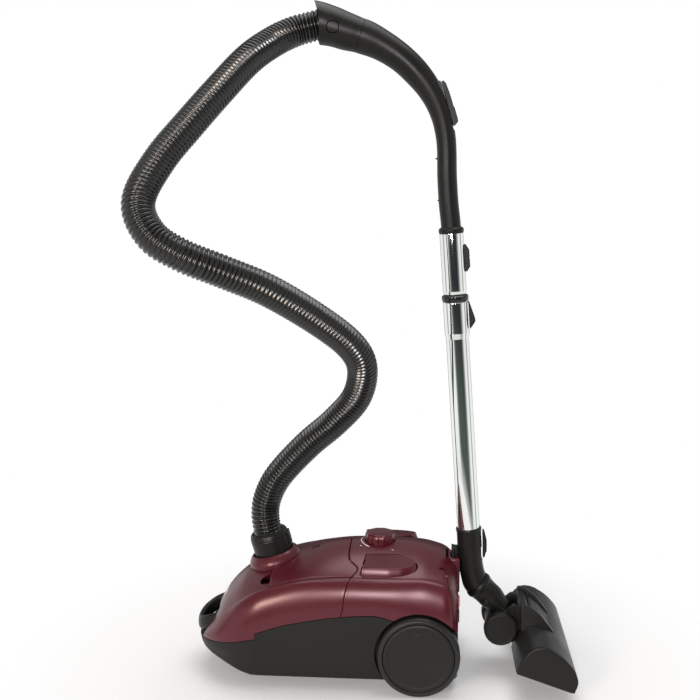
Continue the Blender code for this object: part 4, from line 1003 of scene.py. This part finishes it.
def wand_plate(name, points, half, fillet=1.0, bevel=1.0):
    """A button whose side view is given as (length along the wand, height behind its axis)."""
    return plate(name, points, -half, half, fillet, bevel,
                 to_world=lambda u, v, w: on_wand(u, v) + Vector((0, w, 0)))


def make_wand_tubes():
    lower = ((LOWER_TUBE_R + 1.0, LOWER_TUBE_TOP, 0.6), (LOWER_TUBE_R + 1.5, LOWER_TUBE_TOP - 1.5, 0.6),
             (LOWER_TUBE_R + 1.5, 318, 5), (LOWER_TUBE_R, 309, 5), (LOWER_TUBE_R, -20),
             (LOWER_TUBE_R - 1.2, -20), (LOWER_TUBE_R - 1.2, 312), (LOWER_TUBE_R - 0.8, LOWER_TUBE_TOP))
    tube = lathe("lower_tube_plate", lower, WAND_FOOT, WAND_UP, 128, 0.3)
    slot = oriented_block("tool", on_wand(342, 19), (1, 0, 0), WAND_UP, (3.0, 13, 42), 0)
    stand_for(carve(tube, slot), "lower_tube")
    collar = ((18.6, COLLAR_TOP, 0.8), (20.4, COLLAR_TOP - 1.6, 1.6), (20.5, LOWER_TUBE_TOP + 5, 1.4),
              (19.6, LOWER_TUBE_TOP + 0.3, 0.8), (INNER_TUBE_R + 0.3, LOWER_TUBE_TOP + 0.3),
              (INNER_TUBE_R + 0.3, COLLAR_TOP))
    stand_for(lathe("telescope_ring", collar, WAND_FOOT, WAND_UP, 112, 0.3), "telescope_collar", GLOSS_BLACK)
    upper = ((SLEEVE_R, SLEEVE_TOP), (SLEEVE_R, COLLAR_TOP + 6.5, 3),
             (INNER_TUBE_R + 0.6, COLLAR_TOP + 0.6, 1.4), (INNER_TUBE_R, COLLAR_TOP), (INNER_TUBE_R, 60),
             (INNER_TUBE_R - 1.1, 60), (INNER_TUBE_R - 1.1, COLLAR_TOP + 7),
             (SLEEVE_R - 1.1, COLLAR_TOP + 12), (SLEEVE_R - 1.1, SLEEVE_TOP))
    sleeve = lathe("upper_tube_plate", upper, WAND_FOOT, WAND_UP, 128, 0.3)
    slot = oriented_block("tool", on_wand(432, SLEEVE_R), (1, 0, 0), WAND_UP, (12, 11, 44), 0)
    stand_for(carve(sleeve, slot), "upper_tube")


def make_wand_buttons():
    release = ((364, 19.6), (366, 20.7), (339, 28.5, 1.2), (334, 28.5, 1.2), (322, 19.6))
    stand_for(wand_plate("release_wedge", release, 7.5, 1.0, 1.3), "telescope_release")
    button = ((411, 13.6), (411, 20.5), (418, 25.5, 2), (430, 25.5, 0.6), (431.5, 24.7, 0.5),
              (433, 25.5, 0.6), (444, 25.3, 2), (452, 20.5, 1.5), (452, 13.6))
    stand_for(wand_plate("grip_lock_pad", button, 4.8, 1.0, 1.2), "grip_lock_button")


def slider_place(along, out, across=0.0):
    return SLIDER_FOOT + SLIDER_AXIS * along + SLIDER_OUT * out + Vector((0, across, 0))


def make_grip():
    neck = on_wand(SLEEVE_TOP + 8)
    stations = ((94.2 + 2.2, 742, 14.9, 15.1), (94.2, 773, 14.8, 15.2), (90.3, 842, 14.9, 15.5),
                (86, 862, 15.5, 16), (77, 886, 16.5, 17), (64, 909, 18.3, 18), (47, 930, 20, 19),
                (26, 950, 20.8, 20), (-4, 970, 22.6, 21), (-35.7, 984, 25.4, 23))
    start = (neck.x, neck.z, 15.0, 15.0)
    grip = swept("grip_pipe", (start,) + stations, 2.6, 8, 72, WAND_UP, HOSE_END_AXIS)
    rim_ring = ((14.2, SLEEVE_TOP + 9.5), (15.4, SLEEVE_TOP + 9.5, 0.5), (18.6, SLEEVE_TOP + 7, 1.2),
                (19.2, SLEEVE_TOP + 5.2, 1.2), (18.7, SLEEVE_TOP + 0.4, 0.8), (14.2, SLEEVE_TOP + 0.4))
    spigot = ((16.4, SLEEVE_TOP + 4), (16.4, SLEEVE_TOP - 62), (13.8, SLEEVE_TOP - 62),
              (13.8, SLEEVE_TOP + 4))
    fuse(grip, lathe("tool", rim_ring, WAND_FOOT, WAND_UP, 112, 0.3),
         lathe("tool", spigot, WAND_FOOT, WAND_UP, 72, 0.3))
    groove = [(slider_place(a, o).x, slider_place(a, o).z) for a, o in ((-3, 0), (-3, 20), (82, 20), (82, 0))]
    carve(grip, oriented_block("tool", on_wand(432, 16), (1, 0, 0), WAND_UP, (14, 10.4, 42.6), 0),
          plate("tool", groove, -8.6, 8.6, fillet=0, bevel=0))
    stand_for(grip, "grip")
    nub = ((0, 1.9), (0.9, 1.5, 0.4), (1.7, -2.0), (0, -2.0))
    for k, (x, z) in enumerate(((77.9, 805), (81.6, 743))):
        add_to(lathe(f"grip_nub_{k}", nub, (x, 0, z), (-1, 0, 0), 20, 0.2), "grip")
    bed = ((-5, -9), (-4, -0.2, 1.5), (72, -0.2, 3), (74, -12), (40, -16), (0, -14))
    add_to(plate("air_slider_bed", bed, -9.6, 9.6, 1.0, 1.5, slider_place), "grip")
    slider = ((3, 0.6), (3.4, 4), (7, 9.2, 3), (12, 9.8, 3), (28, 9.6, 1), (31, 8.6, 1), (56, 7.6, 4),
              (66, 6.6, 2.5), (71, 3.8), (70, 0.6))
    stand_for(plate("air_slider_pad", slider, -8, 8, 1.0, 1.6, slider_place), "air_slider")
    for k in range(5):
        ridge = rectangle(36 + 4 * k, 37.2 + 4 * k, 7.0, 9.0 - 0.09 * k)
        add_to(plate(f"air_slider_rib_{k}", ridge, -5, 5, 0.3, 0.3, slider_place), "air_slider")
    make_hose_end()


def make_hose_end():
    stations = ((-36.3, 984.2, 25.2, 23), (-48, 987.8, 26.4, 24.1), (-62, 992, 28, 25.5),
                (-82, 998.2, 30.4, 27.1), (-102, 1003.6, 32.6, 28.5))
    bell = swept("hose_end_bell", stations, 2.8, 8, 72, HOSE_END_AXIS, (-64, 0, 12))
    for vert in bell.data.vertices:
        share = smoothstep(-58, -104, vert.co.x / MM) if vert.co.x / MM < -58 else 0.0
        height = vert.co.z / MM - 1003.0
        hollow = BELL_HOLLOW * max(0.0, 1 - ((height - 6) / 30) ** 2)
        vert.co.x += (hollow - BELL_SLANT * height) * share * MM
    window = plate("tool", rectangle(-85, -67, 986, 1004), -40, -15, 7.5, 0)
    stand_for(carve(bell, window), "hose_end")
    sleeve = ((-29, 982, 21.4, 19.4), (-36.3, 984.2, 21.7, 19.7), (-44, 986.6, 22, 20))
    add_to(swept("hose_end_spigot", sleeve, 1.6, 6, 56), "hose_end")
    proud = [(x, z, across + 0.5, up + 0.5) for x, z, across, up in stations]
    snap = swept("hose_end_snap_pad", proud, 3.6, 8, 72, HOSE_END_AXIS, (-64, 0, 12))
    pad = plate("tool", rectangle(-84, -68, 987, 1003), -40, -15, 7, 0)
    stand_for(combine(snap, [pad], "INTERSECT"), "hose_end_snap", FINISHES["black"])


# ---------------------------------------------------------------- neck and floor head
def make_neck():
    stations = ((135.2, 231, 19.6, 19.6, 1.4), (135.6, 226, 19.3, 19.3, 1.2), (137.2, 203, 19.2, 19.2, 1.2),
                (138.8, 182, 18.8, 18.8), (140.4, 168, 18.8, 18.8), (143.6, 153, 19.4, 19.4),
                (149.3, 139.9, 20.2, 20.2))
    neck = swept("neck_elbow_pipe", stations, 3.4, 8, 80, -WAND_UP, SWIVEL_AXIS)
    lip = ((LOWER_TUBE_R + 0.5, 6.6), (19.8, 6.4, 0.7), (20.1, 4.2, 0.7), (19.9, 2.0, 0.4),
           (LOWER_TUBE_R + 0.5, 2.0))
    add_to(lathe("neck_rim", lip, WAND_FOOT, WAND_UP, 96, 0.3), "neck_elbow")
    carve(neck, block("tool", (155.2, -7.3, 180.5), (175, 7.3, 201), 0))
    stand_for(neck, "neck_elbow")
    lever = ((156.9, 228), (160, 226.4, 2), (163.8, 212, 6), (163.8, 196, 6), (161, 185, 2), (158.2, 183.6),
             (157.8, 205))
    stand_for(plate("neck_lever_pad", lever, -6.5, 6.5, 1.0, 1.4), "neck_lever")
    for k in range(4):
        rib = block(f"neck_lever_rib_{k}", (162.6, -4.6, 193 + 3.4 * k), (164.3, 4.6, 194.3 + 3.4 * k), 0.4)
        add_to(rib, "neck_lever")


def make_yoke():
    start = RING_CENTRE + SWIVEL_AXIS * 0.4
    rows = ((0, 22, 22), (1.5, 22.4, 22.4), (7, 22.4, 22.4), (8.6, 21.6, 21.6), (14, 20.6, 20.2),
            (34, 20, 19.4), (56, 15, 19.2))
    stations = []
    for distance, a, b in rows:
        place = start + SWIVEL_AXIS * distance
        stations.append((place.x, place.z, a, b))
    yoke = swept("swivel_yoke_pipe", stations, 3.0, 6, 80, SWIVEL_AXIS, SWIVEL_AXIS)
    barrel = ((22, 19.6), (22, -19.6), (4.4, -19.6), (4.4, 19.6))
    boss_side = lathe("tool", ((0, 3.0), (3.6, 3.0, 0.8), (4.4, 1.4), (4.4, -3), (0, -3)),
                      (164, -20.4, 117), (0, -1, 0), 40, 0.3)
    fuse(yoke, lathe("tool", barrel, PIVOT, (0, 1, 0), 96, 0.6), boss_side)
    carve(yoke, plate("tool", rectangle(162.7, 165.3, 116.6, 117.4), -24, -22.4, 0, 0))
    stand_for(yoke, "swivel_yoke")
    for side, word in SIDES:
        roller = ((0, 13.2), (8, 13.2), (ROLLER_R - 5, 13.4), (ROLLER_R - 4.2, 14.0, 0.5),
                  (ROLLER_R - 2.6, 14.0, 0.6), (ROLLER_R - 0.6, 12.6, 0.9), (ROLLER_R, 11.0, 0.8),
                  (ROLLER_R, 7.2), (ROLLER_R - 0.6, 6.6, 0.2), (ROLLER_R, 6.0), (ROLLER_R, 0), (4.4, 0),
                  (4.4, 12.6), (0, 12.6))
        stand_for(lathe("roller_" + word, roller, (PIVOT.x, side * 29.0, PIVOT.z), (0, side, 0), 112, 0.3),
                  "neck_roller_" + word)


def make_head():
    shell = plate("head_cover", head_section(), -123.6, 123.6, 0, 0)
    saddle = ((217.5, 78), (216.8, 119.5, 1.2), (220, 121, 1.5), (231, 118, 12), (247, 105, 18),
              (262, 86, 14), (269, 76, 1), (244, 84), (233, 84))
    hood = ((231.4, 84), (231.4, 108, 2), (236, 107, 4), (247, 98, 18), (261, 82, 14), (267, 76, 1),
            (244, 84))
    add_to(plate("head_hood", hood, -35.2, 35.2, 2, 0.8), "head_shell")
    for _, word, low, high in each_side(34.8, 42.4):
        add_to(plate("head_ridge_" + word, saddle, low, high, 2, 2.6), "head_shell")
    carve(shell, block("tool", (190, -30, 30), (231, 30, 130), 0))
    stand_for(shell, "head_shell")

    duct = plate("head_duct_block", ((213.5, 52), (213.5, 112, 3), (218, 119, 2), (226, 116, 2),
                                     (230.4, 108, 1), (230.4, 52)), -28.2, 28.2, 1, 1.2)
    ear = ((186, 97, 8), (178, 96, 8), (170, 88, 8), (168, 79, 8), (170, 70, 8), (178, 62, 8), (186, 60, 8),
           (216, 54), (216, 112), (206, 116, 3), (196, 108, 3))
    fuse(duct, *[plate("tool", ear, low, high, 2, 0.9) for _, _, low, high in each_side(20.6, 28.2)])
    tools = [drill(4.4, -40, 40, PIVOT, (0, 1, 0), 40), block("tool", (205, -17, 60), (240, 17, 104), 0)]
    for _, _, low, high in each_side(26.6, 30):
        for k in range(3):
            x = 194 + 5.6 * k
            slot = ((x, 101), (x + 2.4, 101), (x + 5.4, 110 + k), (x + 3.0, 110 + k))
            tools.append(plate("tool", slot, low, high, 0.8, 0))
    stand_for(carve(duct, *tools), "head_duct")
    make_sole()
    for _, word, low, high in each_side(124, HEAD_HALF):
        stand_for(plate("end_cap_" + word, head_curve(), low, high, 0, 1.9), "head_cap_" + word)


def head_curve():
    """The smooth line over the head, from its rear edge to its front edge."""
    return [(p[0], p[2]) for p in spline([(x, 0.0, z) for x, z in HEAD_OUTLINE], 6)]


def head_section():
    """The cover's section: the outer line and, a wall's thickness inside it, the line back."""
    outer = [Vector(p) for p in head_curve()]
    inner = []
    for before, here, after in zip(outer, outer[1:], outer[2:]):
        along = (after - before).normalized()
        point = here + Vector((along.y, -along.x)) * HEAD_WALL
        if min((point - outer[0]).length, (point - outer[-1]).length) > 1.2 * HEAD_WALL:
            inner.append(point)
    return [tuple(p) for p in outer] + [tuple(p) for p in reversed(inner)]


def make_sole():
    rear, front = Vector((206.2, 0, 43.8)), Vector((288.4, 0, 15.4))
    forward = (front - rear).normalized()
    upward = Vector((-forward.z, 0, forward.x))
    corners = (rear, rear + forward * 5 + upward * 3.6, front - forward * 2 + upward * 3.6, front)
    sole = plate("head_sole_plate", [(p.x, p.z) for p in corners], -122.5, 122.5, 0.5, 0)
    carve(sole, oriented_block("tool", rear + forward * 48, forward, upward, (16, 180, 30), 0),
          oriented_block("tool", rear + forward * 26, forward, upward, (7, 201, 30), 0))
    stand_for(sole, "head_sole")
    make_brush(rear + forward * 26 + upward * 5, forward, upward)


def make_brush(centre, forward, upward):
    """A brush strip: a thin back with two rows of flared tufts."""
    holder = oriented_block("brush_back", centre + upward * 3.2, forward, upward, (5, 200, 2.6), 0.3)
    bm = bmesh.new()
    bm.from_mesh(holder.data)
    bmesh.ops.scale(bm, vec=(1 / MM,) * 3, verts=bm.verts)
    bpy.data.objects.remove(holder)
    for k in range(66):
        for row in (-1.1, 1.1):
            foot = centre + forward * row + Vector((0, -98.5 + 3.03 * k, 0)) + upward * 2.2
            lean = noise.noise(Vector((k * 0.7, row, 0))) * 0.5
            rings = []
            for height, radius in ((0.0, 0.75), (-3.2, 0.9), (-6.5, 1.1)):
                place = foot + upward * height + Vector((0, lean * height / -6.5, 0))
                rings.append([bm.verts.new(place + forward * radius * math.cos(a)
                                           + Vector((0, radius * math.sin(a), 0))) for a in turns(8)])
            stitch(bm, rings)
    stand_for(finish_mesh("brush_tufts", bm), "brush_strip")


# ---------------------------------------------------------------- dust bag and filter
def make_dust_bag():
    """A half-filled paper bag: pillow sides, folded corners and soft creases."""
    low, high = (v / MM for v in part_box("dust_bag"))
    centre, half = (low + high) / 2, (high - low) / 2
    bm = bmesh.new()
    bmesh.ops.create_cube(bm, size=2.0)
    bmesh.ops.subdivide_edges(bm, edges=bm.edges, cuts=27, use_grid_fill=True)
    for vert in bm.verts:
        p = vert.co.copy()
        bulge_z = (1 - abs(p.x) ** 3.0) * (1 - abs(p.y) ** 3.0)
        z = p.z * (0.16 + 0.82 * max(bulge_z, 0.0) ** 0.45)
        pull = 1 - 0.035 * (1 - abs(p.z)) * (abs(p.x) ** 8 + abs(p.y) ** 8)
        crease = noise.noise(Vector((p.x * 2.6, p.y * 2.6, p.z))) + 0.5 * noise.noise(p * 6.0)
        spot = Vector((p.x * half.x * 0.985 * pull, p.y * half.y * 0.985 * pull, z * half.z))
        vert.co = centre + spot + Vector((0, 0, crease * 1.6 * (1 - 0.5 * abs(p.z))))
    for vert in bm.verts:
        for i in range(3):
            vert.co[i] = min(max(vert.co[i], low[i]), high[i])
    bag = finish_mesh("paper_bag", bm, 80)
    stand_for(bag, "dust_bag")


def make_filter():
    low, high = (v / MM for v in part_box("motor_filter"))
    bm = bmesh.new()
    bmesh.ops.create_cube(bm, size=1.0)
    bmesh.ops.bevel(bm, geom=list(bm.edges), offset=0.06, segments=3, affect="EDGES", clamp_overlap=True)
    for vert in bm.verts:
        vert.co = Vector(a + (c + 0.5) * (b - a) for c, a, b in zip(vert.co, low, high))
    stand_for(finish_mesh("foam_filter", bm), "motor_filter")


# ---------------------------------------------------------------- hose
def smooth_route(points, step, before=None, after=None):
    """Evenly spaced points of the smooth curve through the route's points.

    before and after are the neighbours of its ends on a longer curve.
    """
    route = [Vector(p) for p in points]
    before = Vector(before) if before else route[0] * 2 - route[1]
    after = Vector(after) if after else route[-1] * 2 - route[-2]
    ends = [before] + route + [after]
    fine = []
    for a, b, c, d in zip(ends, ends[1:], ends[2:], ends[3:]):
        for i in range(24):
            t = i / 24
            fine.append(0.5 * (2 * b + (c - a) * t + (2 * a - 5 * b + 4 * c - d) * t ** 2
                               + (3 * b - a - 3 * c + d) * t ** 3))
    fine.append(route[-1])
    lengths = [0.0]
    for a, b in zip(fine, fine[1:]):
        lengths.append(lengths[-1] + (b - a).length)
    count = max(2, round(lengths[-1] / step))
    picked = []
    for k in range(count + 1):
        goal = lengths[-1] * k / count
        i = min(int(np.searchsorted(lengths, goal, side="right")), len(fine) - 1)
        span = lengths[i] - lengths[i - 1]
        picked.append(fine[i - 1].lerp(fine[i], (goal - lengths[i - 1]) / span))
    return picked, lengths[-1]


def ribbed_tube(name, route, before, after):
    """The hose's skin: a whole number of rounded ribs along the route."""
    rings_per_rib, around = 8, 48
    _, length = smooth_route(route, 10.0, before, after)
    ribs = round(length / RIB_PITCH)
    path, _ = smooth_route(route, length / (ribs * rings_per_rib), before, after)
    last = len(path) - 1
    bm = bmesh.new()
    rows = []
    side = Vector((0, 1, 0))
    for i, centre in enumerate(path):
        along = (path[min(i + 1, last)] - path[max(i - 1, 0)]).normalized()
        side = (side - along * side.dot(along)).normalized()
        up = side.cross(along)
        wave = 0.5 - 0.5 * math.cos(2 * math.pi * i / rings_per_rib)
        radius = HOSE_R - RIB_DEPTH * (1 - wave ** 0.7)
        rows.append([bm.verts.new(centre + (side * math.cos(t) + up * math.sin(t)) * radius)
                     for t in turns(around)])
    stitch(bm, rows)
    return finish_mesh(name, bm, 75), [p * MM for p in path], length * MM


def make_hoses():
    halves = (("hose_lower", HOSE_ROUTE_LOWER, None, HOSE_ROUTE_UPPER[1], "root", "wand_lower"),
              ("hose_upper", HOSE_ROUTE_UPPER, HOSE_ROUTE_LOWER[-2], None, "wand_lower", "wand_upper"))
    for node, route, before, after, low, high in halves:
        hose, path, length = ribbed_tube(node + "_ribs", route, before, after)
        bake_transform(hose)
        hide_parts(node)
        dress(hose, "hose")


# ---------------------------------------------------------------- what stays as the CAD made it
def dress_inner_nodes():
    for node in ("lid_hinge_pin", "bag_holder", "motor_housing", "reel_axle", "wheel_axle_left",
                 "wheel_axle_right", "caster_axle", "cord_reel", "wound_cord", "motor_fan", "tilt_axle"):
        piece = frame["nodes"][node]
        piece.data.materials.clear()
        piece.data.materials.append(FINISHES[SLOT_OF[node]])


# ---------------------------------------------------------------- stage, light and camera
def make_stage():
    bm = bmesh.new()
    bmesh.ops.create_circle(bm, cap_ends=True, segments=128, radius=620)
    floor = finish_mesh("floor", bm)
    material = bpy.data.materials.new("pale_floor")
    material.use_nodes = True
    tree = material.node_tree
    shader = tree.nodes["Principled BSDF"]
    shader.inputs["Base Color"].default_value = (0.86, 0.86, 0.86, 1)
    shader.inputs["Roughness"].default_value = 0.7
    place = add_node(tree, "ShaderNodeTexCoord").outputs["Object"]
    distance = add_node(tree, "ShaderNodeVectorMath", {0: place}, operation="LENGTH").outputs["Value"]
    fade = remap(tree, distance, 0.34, 0.6, 0.12, 1.0)
    glow = add_node(tree, "ShaderNodeEmission", {"Color": (1, 1, 1, 1), "Strength": 1.0}).outputs[0]
    blend = add_node(tree, "ShaderNodeMixShader", {0: fade, 1: shader.outputs[0], 2: glow})
    tree.links.new(blend.outputs[0], tree.nodes["Material Output"].inputs[0])
    floor.data.materials.append(material)


# The studio's walls by azimuth, in degrees from -Y towards +X: the bright sides and the dark gaps between
# them give chrome its bands.
WALL_TONES = ((-180, 0.05), (-160, 0.08), (-150, 0.90), (-99, 0.95), (-95, 0.35), (-86, 0.35), (-82, 0.95),
              (-46, 0.90), (-35, 0.16), (-22, 0.03), (36, 0.03), (48, 0.22), (56, 0.60), (64, 0.90),
              (82, 0.95), (86, 0.35), (95, 0.35), (99, 0.95), (150, 0.90), (160, 0.08), (180, 0.05))
DOME_TONE = 0.42


def make_world():
    """Pale studio walls with dark gaps and a dimmer ceiling; the backdrop itself is white."""
    world = bpy.data.worlds.new("studio")
    bpy.context.scene.world = world
    world.use_nodes = True
    tree = world.node_tree
    background = tree.nodes["Background"]
    direction = add_node(tree, "ShaderNodeTexCoord").outputs["Generated"]
    axes = add_node(tree, "ShaderNodeSeparateXYZ", {0: direction}).outputs
    towards = add_node(tree, "ShaderNodeMath", {0: axes["Y"], 1: -1.0}, operation="MULTIPLY").outputs[0]
    azimuth = add_node(tree, "ShaderNodeMath", {0: axes["X"], 1: towards}, operation="ARCTAN2").outputs[0]
    share = remap(tree, azimuth, -math.pi, math.pi, 0.0, 1.0)
    ramp = add_node(tree, "ShaderNodeValToRGB", {0: share})
    for k, (angle, tone) in enumerate(WALL_TONES):
        place = angle / 360 + 0.5
        stop = ramp.color_ramp.elements[k] if k < 2 else ramp.color_ramp.elements.new(place)
        stop.position = place
        stop.color = (tone, tone, tone, 1.0)
    deep = mix_colours(tree, remap(tree, axes["Z"], -0.12, -0.3, 0.0, 1.0), (0.0, 0.004, 0.008),
                       (0.052, 0.075, 0.058))
    lift = add_node(tree, "ShaderNodeVectorMath", {0: ramp.outputs["Color"], 1: deep}, operation="ADD")
    ceiling = remap(tree, axes["Z"], 0.2, 0.4, 0.0, 1.0)
    ground = remap(tree, axes["Z"], -0.36, -0.43, 0.0, 1.0)
    walls = mix_colours(tree, ground, lift.outputs[0], (0.85, 0.85, 0.84))
    lit = mix_colours(tree, ceiling, walls, (DOME_TONE, DOME_TONE * 0.985, DOME_TONE * 0.97))
    seen = add_node(tree, "ShaderNodeLightPath").outputs["Is Camera Ray"]
    tree.links.new(mix_colours(tree, seen, lit, (1.0, 1.0, 1.0)), background.inputs["Color"])
    background.inputs["Strength"].default_value = 1.0


def area_light(name, place, target, size, power, colour=(1, 1, 1)):
    data = bpy.data.lights.new(name, "AREA")
    data.shape = "RECTANGLE"
    data.size, data.size_y = size
    data.energy = power
    data.color = colour
    light = bpy.data.objects.new(name, data)
    light.location = place
    light.rotation_mode = "QUATERNION"
    light.rotation_quaternion = (Vector(target) - Vector(place)).to_track_quat("-Z", "Y")
    bpy.context.scene.collection.objects.link(light)


def make_lights():
    area_light("key_softbox", (-0.05, -5.0, 1.5), (0.0, 0, 0.25), (1.0, 1.1), 118, (1.0, 0.97, 0.99))
    area_light("warm_softbox", (-2.2, -4.4, 1.5), (-0.1, 0, 0.25), (1.2, 1.1), 118, (1.0, 0.86, 0.74))
    area_light("overhead", (0.1, 0.25, 2.6), (0, 0, 0.2), (2.2, 1.6), 40)


def make_camera():
    data = bpy.data.cameras.new("camera")
    data.lens = 59.5
    data.sensor_width = 36.0
    camera = bpy.data.objects.new("camera", data)
    camera.location = (0.0525, -1.7620, 0.8084)
    camera.rotation_euler = (math.radians(90 - 9.5), 0, math.radians(3.4))
    bpy.context.scene.collection.objects.link(camera)
    bpy.context.scene.camera = camera


for make in (make_camera, make_hoses, make_shells, make_pedals, make_knob, make_inlet, make_base, make_wheels,
             make_caster, make_handle, make_nose_insert, make_lid_window, make_rear, make_wand_tubes,
             make_wand_buttons, make_grip, make_neck, make_yoke, make_head, make_dust_bag, make_filter,
             dress_inner_nodes, make_stage, make_world, make_lights):
    make()
bpy.context.scene.view_settings.view_transform = "Standard"
